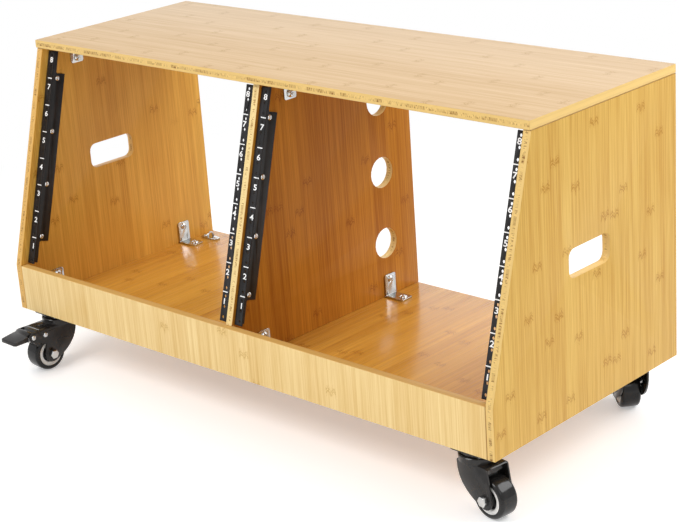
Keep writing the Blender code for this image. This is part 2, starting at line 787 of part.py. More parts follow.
def fork_mesh(name, braked):
    """Pressed fork: a cup over an inverted channel whose sides taper to the axle."""
    crown = CROWN_TOP
    front = CASTER_TRAIL + FORK_FRONT
    outline = [(-FORK_BACK, crown + FORK_CORNER), (-FORK_BACK + FORK_CORNER, crown)]
    if braked:
        roof_end = BRIDGE_END
        outline += [(BRIDGE_END, crown)]
        for step in range(6):
            angle = math.radians(-90 + 190 * step / 5)
            outline.append(
                (
                    BRAKE_PIN_REACH + ARM_EYE_RADIUS * math.cos(angle),
                    BRAKE_PIN_DROP + ARM_EYE_RADIUS * math.sin(angle),
                )
            )
        corner = (ARM_INNER_REACH, ARM_INNER_DROP)
        outline += [(ARM_LOWER_REACH, ARM_LOWER_DROP), corner]
    else:
        roof_end = 3 * BRAKE_PIN_REACH
        corner = (front, crown + FORK_CORNER)
        outline += [(front - FORK_CORNER, crown), corner]
    outline += fork_eye_curve(corner)
    outline += list(reversed(fork_back_curve()))
    block = prism(side_points(outline), -FORK_OUTER_HALF, 2 * FORK_OUTER_HALF, "X")

    def on_top_edge(edge):
        first, second = (vertex.co for vertex in edge.verts)
        lengthwise = abs(first.x - second.x) < 0.01 * MM
        return lengthwise and min(first.z, second.z) > -crown - 0.01 * MM

    bevel_edges(block, on_top_edge, FORK_BEND, 2)
    mesh = finish_mesh(block, name)

    cup_inside = crown + FORK_SHEET / 2
    cup = turned(
        [
            (0, -CUP_TOP),
            (CUP_RADIUS - CUP_EASE, -CUP_TOP),
            (CUP_RADIUS, -CUP_TOP - CUP_EASE),
            (CUP_RADIUS, -cup_inside),
            (0, -cup_inside),
        ],
        16,
        "Z",
    )
    mesh = combine(mesh, cup, "UNION", name)

    half = FORK_INNER_WIDTH / 2
    deep = 2 * AXLE_DROP
    far = 3 * BRAKE_PIN_REACH
    hollow = [(-2 * FORK_BACK, CROWN_BOTTOM), (roof_end, CROWN_BOTTOM)]
    if braked:
        hollow += [(roof_end, 0), (far, 0)]
    hollow += [(far, deep), (-2 * FORK_BACK, deep)]
    channel = prism(side_points(hollow), -half, 2 * half, "X")
    mesh = combine(mesh, channel, "DIFFERENCE", name)

    across = 4 * FORK_OUTER_HALF
    cup_hollow = regular_outline(CUP_HOLLOW_RADIUS, 12)
    cutters = [prism(cup_hollow, -CROWN_BOTTOM - MM, CROWN_BOTTOM + MM - CUP_ROOF, "Z")]
    mesh = combine(mesh, gather(*cutters), "DIFFERENCE", name)
    bore = regular_outline(KINGPIN_RADIUS + GAP, 10)
    cutters = [prism(bore, -CUP_ROOF - MM, CUP_ROOF, "Z")]
    eyes = [(CASTER_TRAIL, AXLE_DROP, AXLE_RADIUS)]
    if braked:
        eyes.append((BRAKE_PIN_REACH, BRAKE_PIN_DROP, BRAKE_PIN_RADIUS))
        eyes.append((RIVET_REACH, RIVET_DROP, BRAKE_PIN_RADIUS))
    for reach, drop, radius in eyes:
        circle = regular_outline(radius + GAP, 8, (-reach, -drop))
        cutters.append(prism(circle, -across / 2, across, "X"))
    return combine(mesh, gather(*cutters), "DIFFERENCE", name)


def axle_mesh(name):
    """Axle bolt: plain shank with a hexagon head and a hexagon nut outside the fork."""
    seat = FORK_OUTER_HALF + GAP
    reach = seat + HEX_THICKNESS / 2
    mesh = finish_mesh(prism(regular_outline(AXLE_RADIUS, 8), -reach, 2 * reach, "X"), name)
    corner_radius = HEX_FLATS / math.sqrt(3)
    for side in (-1, 1):
        low = seat if side > 0 else -seat - HEX_THICKNESS
        hexagon = prism(regular_outline(corner_radius, 6), low, HEX_THICKNESS, "X")
        outer = seat + HEX_THICKNESS

        def on_rim(edge, side=side, outer=outer):
            first, second = (vertex.co for vertex in edge.verts)
            return min(side * first.x, side * second.x) > outer - 0.01 * MM

        bevel_edges(hexagon, on_rim, 1.0 * MM, 1)
        mesh = combine(mesh, hexagon, "UNION", name)
    return mesh


def core_mesh(name):
    """Wheel core: hub, recessed web and a broad rim, turned about the axle."""
    rim_half = WHEEL_WIDTH / 2 - RIM_INSET
    hub_half = FORK_INNER_WIDTH / 2 - GAP
    web_half = WEB_WIDTH / 2
    right = [
        (AXLE_RADIUS + GAP, hub_half),
        (HUB_RADIUS, hub_half),
        (RIM_INNER_RADIUS, web_half),
        (RIM_INNER_RADIUS, rim_half),
        (RIM_RADIUS, rim_half),
    ]
    left = [(radius, -height) for radius, height in reversed(right)]
    return finish_mesh(turned(right + left, TURN_STEPS, "X", HALF_FACET), name)


def tyre_mesh(name):
    """Tread with round shoulders, turned about the axle."""
    half = WHEEL_WIDTH / 2
    right = [(RIM_RADIUS + GAP, half)]
    for step in range(3):
        angle = math.radians(90) * (1 - step / 2)
        right.append(
            (
                WHEEL_RADIUS - TYRE_SHOULDER + TYRE_SHOULDER * math.cos(angle),
                half - TYRE_SHOULDER + TYRE_SHOULDER * math.sin(angle),
            )
        )
    left = [(radius, -height) for radius, height in reversed(right)]
    return finish_mesh(turned(right + left, TURN_STEPS, "X", HALF_FACET), name)


def pin_mesh(name):
    """Rivet across the fork's arms with a low domed head on each side."""
    seat = FORK_OUTER_HALF + GAP
    head = [
        (BRAKE_PIN_RADIUS, seat),
        (RIVET_HEAD_RADIUS, seat),
        (0.8 * RIVET_HEAD_RADIUS, seat + 0.65 * RIVET_HEAD),
        (0, seat + RIVET_HEAD),
    ]
    profile = [(radius, -height) for radius, height in reversed(head)] + head
    return finish_mesh(turned(profile, 8, "X"), name)


def pedal_mesh(name):
    """Brake pedal about its pin: hub, shoe over the tyre, grooved neck, wide tread.

    Profile points are (reach, rise) from the pin. The neck lies between the fork's
    arms and the tread, a shallow tray with its open side down, starts ahead of them.
    """
    to_axle_reach = CASTER_TRAIL - BRAKE_PIN_REACH
    to_axle_rise = BRAKE_PIN_DROP - AXLE_DROP
    shoe_radius = math.hypot(to_axle_reach, to_axle_rise) - WHEEL_RADIUS - GAP
    aim = math.atan2(to_axle_rise, to_axle_reach)
    neck_half = FORK_INNER_WIDTH / 2 - 2 * GAP
    to_bridge = math.hypot(BRAKE_PIN_REACH - BRIDGE_END, BRAKE_PIN_DROP - CROWN_BOTTOM)
    neck_start = -math.sqrt((to_bridge - GAP) ** 2 - PEDAL_NECK_RISE ** 2)
    band = PEDAL_NECK_RISE
    groove = band - PEDAL_GROOVE
    hub_radius = PEDAL_HUB_RADIUS

    hub = []
    for step in range(5):
        angle = aim - SHOE_HALF_ANGLE + 2 * SHOE_HALF_ANGLE * step / 4
        radius = shoe_radius - SHOE_RELEASE * max(0.0, 1 - step / 2)
        hub.append((radius * math.cos(angle), radius * math.sin(angle)))
    for step in range(3):
        angle = math.radians(-75 + 40 * step)
        hub.append((hub_radius * math.cos(angle), hub_radius * math.sin(angle)))
    hub.append((0.6 * hub_radius, band - PEDAL_SHEET / 2))
    hub.append((-0.6 * hub_radius, groove - PEDAL_SHEET / 2))
    hub.append((-hub_radius, 0))
    points = [(-reach, rise) for reach, rise in hub]
    mesh = finish_mesh(prism(points, -neck_half, 2 * neck_half, "X"), name)

    def tread_top(reach):
        return PEDAL_ROOT_RISE - (reach - PEDAL_ROOT) * math.tan(PEDAL_SLOPE)

    overlap = PEDAL_ROOT + PEDAL_SHEET
    neck = [
        (neck_start, band),
        (-0.52 * PEDAL_ROOT - PEDAL_SHEET, band),
        (-0.5 * PEDAL_ROOT, groove),
        (-0.25 * PEDAL_ROOT, groove),
        (0.1 * PEDAL_ROOT, band),
        (0.45 * PEDAL_ROOT, band),
        (PEDAL_ROOT, PEDAL_ROOT_RISE + 0.4 * PEDAL_GROOVE),
        (overlap, tread_top(overlap)),
    ]
    under = [(reach, rise - PEDAL_SHEET) for reach, rise in reversed(neck)]
    points = [(-reach, rise) for reach, rise in neck + under]
    mesh = combine(mesh, prism(points, -neck_half, 2 * neck_half, "X"), "UNION", name)

    half = PEDAL_WIDTH / 2
    tip = PEDAL_LENGTH
    tray = [(PEDAL_ROOT, -PEDAL_SKIRT), (PEDAL_ROOT, tread_top(PEDAL_ROOT))]
    tray += fillet(tray[-1], (tip, tread_top(tip)), (tip, -PEDAL_SKIRT), PEDAL_TIP_RADIUS, 2)
    tray.append((tip, -PEDAL_SKIRT))
    points = [(-reach, rise) for reach, rise in tray]
    wide = finish_mesh(prism(points, -half, PEDAL_WIDTH, "X"), name + "_tread")
    inner_tip = tip - PEDAL_SHEET
    hollow = [
        (0.0, -BRAKE_PIN_REACH),
        (0.0, tread_top(0.0) - PEDAL_SHEET),
        (inner_tip, tread_top(inner_tip) - PEDAL_SHEET),
        (inner_tip, -BRAKE_PIN_REACH),
    ]
    points = [(-reach, rise) for reach, rise in hollow]
    inside = half - PEDAL_SHEET
    wide = combine(wide, prism(points, -inside, 2 * inside, "X"), "DIFFERENCE", name + "_tread")
    corners = []
    for side in (-1, 1):
        corner = [
            (side * (half - PEDAL_CORNER), -tip),
            (side * half, -tip + PEDAL_CORNER),
            (side * (half + MM), -tip + PEDAL_CORNER),
            (side * (half + MM), -tip - MM),
            (side * (half - PEDAL_CORNER), -tip - MM),
        ]
        corners.append(prism(corner, -PEDAL_WIDTH, 2 * PEDAL_WIDTH, "Z"))
    wide = combine(wide, gather(*corners), "DIFFERENCE", name + "_tread")
    shape = bmesh.new()
    shape.from_mesh(wide)
    mesh = combine(mesh, shape, "UNION", name)
    circle = regular_outline(BRAKE_PIN_RADIUS + GAP, 8)
    bore = prism(circle, -PEDAL_WIDTH, 2 * PEDAL_WIDTH, "X")
    return combine(mesh, bore, "DIFFERENCE", name)


def build_casters():
    mount = mount_mesh("caster_mount")
    kingpin = kingpin_mesh("kingpin")
    plain_fork = fork_mesh("plain_fork", False)
    braked_fork = fork_mesh("braked_fork", True)
    axle = axle_mesh("axle")
    core = core_mesh("wheel_core")
    tyre = tyre_mesh("tyre")
    pin = pin_mesh("pin")
    pedal = pedal_mesh("brake_pedal")
    spots = {
        "front_left": (CASTER_FROM_SIDE, CASTER_FROM_FRONT),
        "front_right": (WIDTH - CASTER_FROM_SIDE, CASTER_FROM_FRONT),
        "rear_left": (CASTER_FROM_SIDE, DEPTH - CASTER_FROM_BACK),
        "rear_right": (WIDTH - CASTER_FROM_SIDE, DEPTH - CASTER_FROM_BACK),
    }
    for corner, (x, y) in spots.items():
        braked = corner in BRAKED
        place("caster_mount_" + corner, mount, CASTER_BLACK, ROOT, (x, y, 0))
        place("kingpin_" + corner, kingpin, ZINC, ROOT, (x, y, 0))
        swivel = empty("swivel_" + corner, ROOT, (x, y, 0), (0, 0, FORK_TURN[corner]))
        fork = braked_fork if braked else plain_fork
        place("fork_" + corner, fork, CASTER_BLACK, swivel)
        hub = (0, -CASTER_TRAIL, -AXLE_DROP)
        place("axle_" + corner, axle, ZINC, swivel, hub)
        place("wheel_core_" + corner, core, RIM_GREY, swivel, hub)
        place("tyre_" + corner, tyre, RUBBER, swivel, hub)
        if braked:
            pivot = (0, -BRAKE_PIN_REACH, -BRAKE_PIN_DROP)
            place("brake_pin_" + corner, pin, ZINC, swivel, pivot)
            place("brake_pedal_" + corner, pedal, CASTER_BLACK, swivel, pivot)
            spacer = (0, -RIVET_REACH, -RIVET_DROP)
            place("fork_rivet_" + corner, pin, ZINC, swivel, spacer)


def stand_on_origin():
    """Move the rack so that the origin is on the floor under its outline's middle."""
    bpy.context.view_layer.update()
    low = Vector((math.inf, math.inf, math.inf))
    high = -low
    for thing in bpy.context.scene.objects:
        if thing.type != "MESH":
            continue
        for vertex in thing.data.vertices:
            spot = thing.matrix_world @ vertex.co
            low = Vector(map(min, low, spot))
            high = Vector(map(max, high, spot))
    middle = (low + high) / 2
    ROOT.location = (-round(middle.x, 3), -round(middle.y, 3), -low.z)
    bpy.context.view_layer.update()


build_cabinet()
build_rails()
build_brackets()
build_eye()
build_casters()
stand_on_origin()
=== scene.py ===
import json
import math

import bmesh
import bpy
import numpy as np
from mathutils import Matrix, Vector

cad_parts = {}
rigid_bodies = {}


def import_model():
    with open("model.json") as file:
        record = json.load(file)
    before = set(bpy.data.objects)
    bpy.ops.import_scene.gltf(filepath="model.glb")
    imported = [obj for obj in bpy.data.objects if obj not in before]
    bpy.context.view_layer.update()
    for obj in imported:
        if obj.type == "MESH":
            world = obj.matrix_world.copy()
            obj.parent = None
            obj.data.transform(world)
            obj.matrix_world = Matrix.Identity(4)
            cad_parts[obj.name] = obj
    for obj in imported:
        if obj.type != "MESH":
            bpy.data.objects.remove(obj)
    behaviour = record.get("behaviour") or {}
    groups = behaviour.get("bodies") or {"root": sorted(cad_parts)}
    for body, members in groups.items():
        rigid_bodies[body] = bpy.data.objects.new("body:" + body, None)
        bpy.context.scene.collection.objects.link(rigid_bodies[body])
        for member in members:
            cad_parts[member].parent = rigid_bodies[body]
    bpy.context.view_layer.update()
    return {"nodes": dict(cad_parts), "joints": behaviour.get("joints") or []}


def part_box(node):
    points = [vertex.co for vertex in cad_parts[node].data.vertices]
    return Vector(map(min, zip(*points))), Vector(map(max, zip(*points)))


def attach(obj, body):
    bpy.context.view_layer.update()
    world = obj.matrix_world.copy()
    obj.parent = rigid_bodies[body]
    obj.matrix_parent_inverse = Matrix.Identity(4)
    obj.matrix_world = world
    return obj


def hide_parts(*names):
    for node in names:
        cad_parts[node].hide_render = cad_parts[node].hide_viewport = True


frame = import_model()

# %% [markdown]
# # A slanted studio rack on casters
# The packed solids stand in the file already: six bamboo boards, four punched rack
# rails, twelve corner brackets, a lashing eye and four casters. This lesson gives them
# their finishes, swaps the round and pressed pieces for smooth ones, and adds the small
# things that the solids leave out: screws, printed marks and the tread of each wheel.

MM = 0.001
node = frame["nodes"]
joint = {row["name"]: row for row in frame["joints"]}

# %% [markdown]
# ## The camera
# The picture was taken from the front right, a little above the top board. A camera is a
# place and three turns: yaw about the upright, pitch above or below the horizon, and roll
# about its own line of sight. They were found by matching the printed unit marks on the
# four rails, so the lens is a true 93 mm on a 36 mm sensor and needs no shift.

# %% Camera from yaw, pitch and roll
YAW, PITCH, ROLL = 0.774, -0.344, -0.072
CAMERA_SPOT = (1.82094, -1.81448, 1.13528)
FOCAL_PIXELS = 1756.17
PICTURE_WIDTH = 679


def camera_turn(yaw, pitch, roll):
    """Columns are the camera's right, up and backward directions.

    Forward is (-sin yaw cos pitch, cos yaw cos pitch, sin pitch). Right is forward
    crossed with the upright, and roll turns right and up about forward.
    """
    forward = np.array([-math.sin(yaw) * math.cos(pitch), math.cos(yaw) * math.cos(pitch), math.sin(pitch)])
    right = np.cross(forward, [0, 0, 1])
    right /= np.linalg.norm(right)
    up = np.cross(right, forward)
    rolled_right = math.cos(roll) * right + math.sin(roll) * up
    rolled_up = -math.sin(roll) * right + math.cos(roll) * up
    return np.stack([rolled_right, rolled_up, -forward], axis=1)


camera_data = bpy.data.cameras.new("rack_camera")
camera_data.sensor_width = 36
camera_data.lens = FOCAL_PIXELS * camera_data.sensor_width / PICTURE_WIDTH
camera_data.clip_start, camera_data.clip_end = 0.05, 60
camera = bpy.data.objects.new("rack_camera", camera_data)
bpy.context.scene.collection.objects.link(camera)
placing = np.eye(4)
placing[:3, :3] = camera_turn(YAW, PITCH, ROLL)
placing[:3, 3] = CAMERA_SPOT
camera.matrix_world = Matrix(placing.tolist())
bpy.context.scene.camera = camera
print("lens:", round(camera_data.lens, 2), "mm")

# %% [markdown]
# ## Writing finishes as nodes
# A finish is a small graph: it reads where a point lies on the piece and works out
# colour, roughness and bump from that. A few short helpers keep the graphs readable.
# Colours are written as they look on a screen, and turned into the linear values that a
# renderer adds up.

# %% Colours as they look on a screen
def screen_colour(red, green, blue):
    """Linear colour from screen values 0 to 255: ((c + 0.055) / 1.055) to the power 2.4."""
    parts = []
    for value in (red, green, blue):
        c = value / 255
        parts.append(c / 12.92 if c <= 0.04045 else ((c + 0.055) / 1.055) ** 2.4)
    return (*parts, 1.0)


print("a screen grey of 128 is", round(screen_colour(128, 128, 128)[0], 3), "in linear light")


# %% A material graph in few words
class Finish:
    """One material and the wires in it. A method that makes a value returns its socket."""

    def __init__(self, name):
        """Start from the plain shader, with the point's place split into X, Y and Z."""
        self.material = bpy.data.materials.new(name)
        self.material.use_nodes = True
        self.tree = self.material.node_tree
        self.shader = self.tree.nodes["Principled BSDF"]
        place = self.tree.nodes.new("ShaderNodeTexCoord")
        self.place = place.outputs["Object"]
        self.facing = place.outputs["Normal"]
        split = self.tree.nodes.new("ShaderNodeSeparateXYZ")
        self.tree.links.new(self.place, split.inputs[0])
        self.axis = {letter: split.outputs[letter] for letter in "XYZ"}

    def wire(self, value, socket):
        """Join an output to a socket, or set the socket to a plain value."""
        if isinstance(value, bpy.types.NodeSocket):
            self.tree.links.new(value, socket)
        else:
            socket.default_value = value

    def maths(self, operation, first, second=0.0, third=0.0, clamp=False):
        """One sum, difference, product and so on of up to three values."""
        step = self.tree.nodes.new("ShaderNodeMath")
        step.operation = operation
        step.use_clamp = clamp
        for value, socket in zip((first, second, third), step.inputs):
            self.wire(value, socket)
        return step.outputs[0]

    def ramp(self, value, low, high, at_low=0.0, at_high=1.0):
        """Smooth step from at_low to at_high while value goes from low to high."""
        step = self.tree.nodes.new("ShaderNodeMapRange")
        step.interpolation_type = "SMOOTHSTEP"
        for number, setting in zip((value, low, high, at_low, at_high), step.inputs):
            self.wire(number, setting)
        return step.outputs[0]

    def vector(self, x, y, z):
        """Three numbers joined as one place."""
        step = self.tree.nodes.new("ShaderNodeCombineXYZ")
        for value, socket in zip((x, y, z), step.inputs):
            self.wire(value, socket)
        return step.outputs[0]

    def noise(self, vector, scale, detail=2.0, rough=0.5):
        """Soft random hills, scale of them to a metre."""
        step = self.tree.nodes.new("ShaderNodeTexNoise")
        self.wire(vector, step.inputs["Vector"])
        self.wire(scale, step.inputs["Scale"])
        self.wire(detail, step.inputs["Detail"])
        self.wire(rough, step.inputs["Roughness"])
        return step.outputs[0]

    def grain(self, first, first_scale, second, second_scale, third, detail, rough=0.5):
        """Noise that is stretched: each direction has a scale of its own, per metre."""
        wide, long = self.maths("MULTIPLY", first, first_scale), self.maths("MULTIPLY", second, second_scale)
        return self.noise(self.vector(wide, long, third), 1.0, detail, rough)

    def off(self, value, middle):
        """Distance of a value from a middle: |value - middle|."""
        return self.maths("ABSOLUTE", self.maths("SUBTRACT", value, middle))

    def dice(self, value):
        """Three unrelated random numbers for one whole number."""
        step = self.tree.nodes.new("ShaderNodeTexWhiteNoise")
        step.noise_dimensions = "1D"
        self.wire(value, step.inputs["W"])
        split = self.tree.nodes.new("ShaderNodeSeparateColor")
        self.wire(step.outputs["Color"], split.inputs[0])
        return split.outputs[0], split.outputs[1], split.outputs[2]

    def mix(self, share, first, second):
        """Colour that goes from the first to the second as the share goes from 0 to 1."""
        step = self.tree.nodes.new("ShaderNodeMix")
        step.data_type = "RGBA"
        self.wire(share, step.inputs["Factor"])
        self.wire(first, step.inputs["A"])
        self.wire(second, step.inputs["B"])
        return step.outputs["Result"]

    def bump(self, height, depth):
        """Tilt the surface as if height, from 0 to 1, stood depth metres proud."""
        step = self.tree.nodes.new("ShaderNodeBump")
        self.wire(height, step.inputs["Height"])
        step.inputs["Strength"].default_value = 1.0
        step.inputs["Distance"].default_value = depth
        self.tree.links.new(step.outputs[0], self.shader.inputs["Normal"])

    def surface(self, **settings):
        """Set the shader's own sockets: colour, roughness and so on."""
        for name, value in settings.items():
            self.wire(value, self.shader.inputs[name.replace("_", " ")])


print("a finish has", sum(callable(step) for step in vars(Finish).values()) - 1, "kinds of step")

# %% [markdown]
# ## Bamboo: the laid strips
# Bamboo board is made of strips about 22 mm wide, laid side by side and pressed. Each
# strip has its own tone and long thin fibres. A photograph of wood could be wrapped round
# the boards, but it would repeat and smear on the cut edges. A noise that is stretched
# along the grain makes fibres and streaks that never repeat, and the number of the strip
# that a point lies on throws the dice for that strip's tone.

# %% Tone of the laid strips
STRIP = 22.0 * MM
STRIP_SHARE, FIBRE_SHARE, STREAK_SHARE = 0.24, 0.40, 0.24
CLOUD_SHARE, JOINT_SHARE, NODE_SHARE = 0.12, 0.12, 0.55


def laid_strips(f, side, run, seed):
    """Number of a point's strip, place across it, its three dice, and its fibres.

    The number is the whole part of side / STRIP + 40 + seed. What is left over, from 0
    to 1, is the place across the strip.
    """
    strips = f.maths("ADD", f.maths("DIVIDE", side, STRIP), 40.0 + seed)
    strip = f.maths("FLOOR", strips)
    fibre = f.grain(side, 520.0, run, 6.0, strip, 3.0, 0.66)
    return strip, f.maths("FRACT", strips), f.dice(f.maths("ADD", strip, seed * 17.3)), fibre


def strip_tone(f, side, run, seed, within, tone, fibre, mark):
    """Share of the dark tone, from 0 to 1: a weighted sum of all that darkens a strip."""
    streak = f.grain(side, 120.0, run, 1.4, seed, 3.0)
    cloud = f.grain(side, 7.0, run, 2.0, seed + 3.0, 1.0)
    share = f.maths("MULTIPLY", tone, STRIP_SHARE)
    share = f.maths("MULTIPLY_ADD", f.ramp(fibre, 0.34, 0.66), FIBRE_SHARE, share)
    share = f.maths("MULTIPLY_ADD", f.ramp(streak, 0.32, 0.68), STREAK_SHARE, share)
    share = f.maths("MULTIPLY_ADD", cloud, CLOUD_SHARE, share)
    share = f.maths("MULTIPLY_ADD", f.ramp(f.off(within, 0.5), 0.47, 0.5), JOINT_SHARE, share)
    return f.maths("MULTIPLY_ADD", mark, NODE_SHARE, share, clamp=True)


print("strip width in mm:", round(STRIP / MM, 1))

# %% [markdown]
# ## Bamboo: the nodes
# Every 20 to 25 cm a strip shows a node, where the cane had a joint: two scalloped lines
# across the strip, shaped like a flat W, over a small scaly patch. They could be drawn
# one by one, but a board has dozens. Here the distance along the grain to the strip's
# nearest node is bent by a sine across the strip, and where the bent distance is near
# nothing there is a line. Each strip starts at a place of its own and some get no mark,
# so the marks don't fall in rows.

# %% Marks at the nodes
NODE_PITCH = 215.0 * MM
LOBE = 6.5 * MM
RAGGED = 11.0 * MM
SECOND_LINE = 4.5 * MM


def node_marks(f, side, run, strip, within, start, chosen):
    """Darkness of a node's mark, from 0 to 1.

    bowed = distance to the node - LOBE |sin 2 pi u| + RAGGED (noise - 0.5), with u from 0
    to 1 across the strip. One line is at bowed = 0, the other at bowed = SECOND_LINE.
    """
    turns = f.maths("ADD", f.maths("DIVIDE", run, NODE_PITCH), f.maths("MULTIPLY", start, 9.0))
    away = f.maths("MULTIPLY", f.maths("SUBTRACT", f.maths("FRACT", turns), 0.5), NODE_PITCH)
    lobes = f.maths("ABSOLUTE", f.maths("SINE", f.maths("MULTIPLY", within, 2 * math.pi)))
    ragged = f.grain(side, 230.0, run, 90.0, strip, 2.0)
    bowed = f.maths("SUBTRACT", away, f.maths("MULTIPLY", lobes, LOBE))
    bowed = f.maths("MULTIPLY_ADD", f.maths("SUBTRACT", ragged, 0.5), RAGGED, bowed)
    first_line = f.ramp(f.maths("ABSOLUTE", bowed), 0.4 * MM, 1.5 * MM, 1.0, 0.0)
    second_line = f.ramp(f.off(bowed, SECOND_LINE), 0.3 * MM, 1.3 * MM, 0.8, 0.0)
    patch = f.ramp(f.off(bowed, 2.0 * MM), 2.0 * MM, 11.0 * MM, 1.0, 0.0)
    scales = f.grain(side, 480.0, bowed, 300.0, strip, 1.0)
    scaly = f.maths("MULTIPLY", patch, f.ramp(scales, 0.46, 0.60, 0.0, 0.6))
    clear_of_joints = f.ramp(f.maths("SINE", f.maths("MULTIPLY", within, math.pi)), 0.05, 0.25)
    present = f.maths("MULTIPLY", clear_of_joints, f.ramp(chosen, 0.36, 0.44))
    mark = f.maths("MAXIMUM", f.maths("MAXIMUM", first_line, second_line), scaly)
    return f.maths("MULTIPLY", mark, present)


print("from node to node in mm:", round(NODE_PITCH / MM, 1))

# %% [markdown]
# ## Bamboo: the cut edge
# Three layers make the board, the middle one turned across, so a cut edge shows two light
# outer plies and a middle ply of end grain with dark ticks. A second material could be
# given to those faces, but hand holes and cable holes would each need picking out. A
# point that lies deeper than the skin belongs to a cut, wherever the saw went, so one
# graph serves the whole board.

# %% Plies of a cut edge
BLOCK = 11.0 * MM
SKIN = 0.25 * MM


def cut_plies(f, along, run, side, depth, faces, edges, seed):
    """Colour of the plies, and the share, 0 or 1, to which a point lies on a cut.

    The middle ply is where |t - 0.5| is under 0.17, with t from 0 at one skin to 1 at the
    other. It is in blocks, and each block throws dice for its tone and its ticks.
    """
    low, high = faces
    to_low, to_high = f.maths("SUBTRACT", depth, low + SKIN), f.maths("SUBTRACT", high - SKIN, depth)
    cut = f.ramp(f.maths("MINIMUM", to_low, to_high), 0.0, 0.15 * MM)
    through = f.maths("DIVIDE", f.maths("SUBTRACT", depth, low), high - low)
    middle_ply = f.ramp(f.off(through, 0.5), 0.17, 0.20, 1.0, 0.0)

    blocks = f.maths("ADD", f.maths("DIVIDE", run, BLOCK), seed * 3.1)
    block = f.maths("FLOOR", blocks)
    block_tone, block_tick = f.dice(block)[:2]
    tick = f.ramp(f.grain(run, 620.0, depth, 160.0, block, 1.0), 0.52, 0.60)
    tick = f.maths("MULTIPLY", tick, f.ramp(block_tick, 0.15, 0.45, 0.25, 1.0))
    seam = f.ramp(f.off(f.maths("FRACT", blocks), 0.5), 0.44, 0.5)
    core = f.maths("MULTIPLY_ADD", f.ramp(block_tone, 0.3, 0.95), 0.34, 0.08)
    core = f.maths("MULTIPLY_ADD", tick, 0.60, core)
    core = f.maths("MULTIPLY_ADD", seam, 0.14, core, clamp=True)

    facing = f.tree.nodes.new("ShaderNodeSeparateXYZ")
    f.wire(f.facing, facing.inputs[0])
    end_cut = f.ramp(f.maths("ABSOLUTE", facing.outputs[along]), 0.6, 0.8)
    core = f.maths("MULTIPLY", core, f.maths("SUBTRACT", 1.0, f.maths("MULTIPLY", end_cut, 0.7)))
    outer = f.maths("MULTIPLY", f.grain(run, 12.0, depth, 900.0, f.maths("MULTIPLY", side, 40.0), 2.0), 0.25)
    return f.mix(f.mix(middle_ply, outer, core), *edges), cut


print("blocks of the middle ply in mm:", round(BLOCK / MM, 1))

# %% [markdown]
# ## Bamboo: one finish for a whole board
# A board knows three directions: along the grain, across it, and through its thickness.
# With those, one graph makes skin, nodes and cut edges together, and one call dresses a
# board. The wood is lacquered, so the fibres only change the roughness a little and stand
# a twentieth of a millimetre proud.

# %% A board's finish
def bamboo(name, along, across, deep, faces, tones, edges, roughness, seed,
           inner=None, joints=(), shine=0.18, coat=0.04):
    """Bamboo board. faces are the two skins' places on the deep axis.

    tones and edges are (light, dark) pairs for the skin and the cut edge. inner is a share that says where
    the board looks into a bay, with the deeper pair of tones painted there as the bay's shade and amber
    bounce light.
    joints lists places on an axis where the next board meets this one in a dark line.
    """
    f = Finish(name)
    run, side, depth = f.axis[along], f.axis[across], f.axis[deep]
    strip, within, (tone, start, chosen), fibre = laid_strips(f, side, run, seed)
    mark = node_marks(f, side, run, strip, within, start, chosen)
    share = strip_tone(f, side, run, seed, within, tone, fibre, mark)
    skin = f.mix(share, *tones)
    if inner is not None:
        # Painted shade: where the board looks into a bay, its skin takes deeper tones that stand for the
        # bay's shade and amber bounce light.
        place, inner_shade_tones = inner
        skin = f.mix(place(f), skin, f.mix(share, *inner_shade_tones))
    skin = f.mix(f.maths("MULTIPLY", mark, 0.14), skin, edges[1])
    plies, cut = cut_plies(f, along, run, side, depth, faces, edges, seed)
    wood = f.mix(cut, skin, plies)
    for axis, place in joints:
        wood = f.mix(f.ramp(f.off(f.axis[axis], place), 0.5 * MM, 1.6 * MM, 0.55, 0.0), wood, edges[1])
    f.surface(Base_Color=wood)
    f.surface(Roughness=f.maths("MULTIPLY_ADD", fibre, 0.16, roughness - 0.08))
    f.surface(Specular_IOR_Level=shine, Coat_Weight=coat, Coat_Roughness=0.12)
    f.bump(f.maths("SUBTRACT", fibre, f.maths("MULTIPLY", mark, 0.5)), 0.05 * MM)
    return f.material


print("bamboo is ready to be laid")

# %% [markdown]
# ## Dressing the boards
# The top is a pale, almost peach veneer with the grain running left to right. The sides are honey yellow
# with upright grain. The kick board is the palest. Inside, the same bamboo stands in shade and in the
# boards' own amber bounce light, so it looks a deeper caramel, and that is painted into its colour: wholly
# on the sides' inner faces, and in part on the divider and on the bays' floor, whose grain runs from front
# to back. The room is white all round and every lacquer mirrors it, so the lacquers are satin, with little
# shine of their own.
#
# The cut edges are painted with the light that falls on them, so they aren't all alike. On the left side and
# the kick board they are a deeper amber, which is painted shade, and on the divider paler, which is painted
# light, so there are three pairs of tones for them. One pair with a lamp on each edge could do it too, but
# the lamp would spill on the boards.

# %% Tones and skins
def shades(light, dark):
    """A pair of screen colours as linear values."""
    return screen_colour(*light), screen_colour(*dark)


EDGES = shades((240, 204, 129), (138, 94, 43))
# Painted shade: the deeper amber edge tones of the left side and the kick board. Painted light: the pale
# edge tones of the divider.
SHADED_AMBER_EDGES = shades((231, 184, 106), (136, 92, 42))
LIT_PALE_EDGES = shades((250, 224, 160), (158, 113, 60))


def skins(name, axis):
    """The two faces of a board on one axis, from the packed solid's box."""
    low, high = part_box(name)
    return low["XYZ".index(axis)], high["XYZ".index(axis)]


def wear(name, material):
    """Give a packed solid its finish."""
    slots = node[name].data.materials
    slots.clear()
    slots.append(material)


def toward(axis, start, end):
    """Share that grows from nothing at start to one at end, along one axis."""
    return lambda f: f.ramp(f.axis[axis], start, end)


print("skins of the top board in mm:", [round(v / MM, 1) for v in skins("top_board", "Z")])

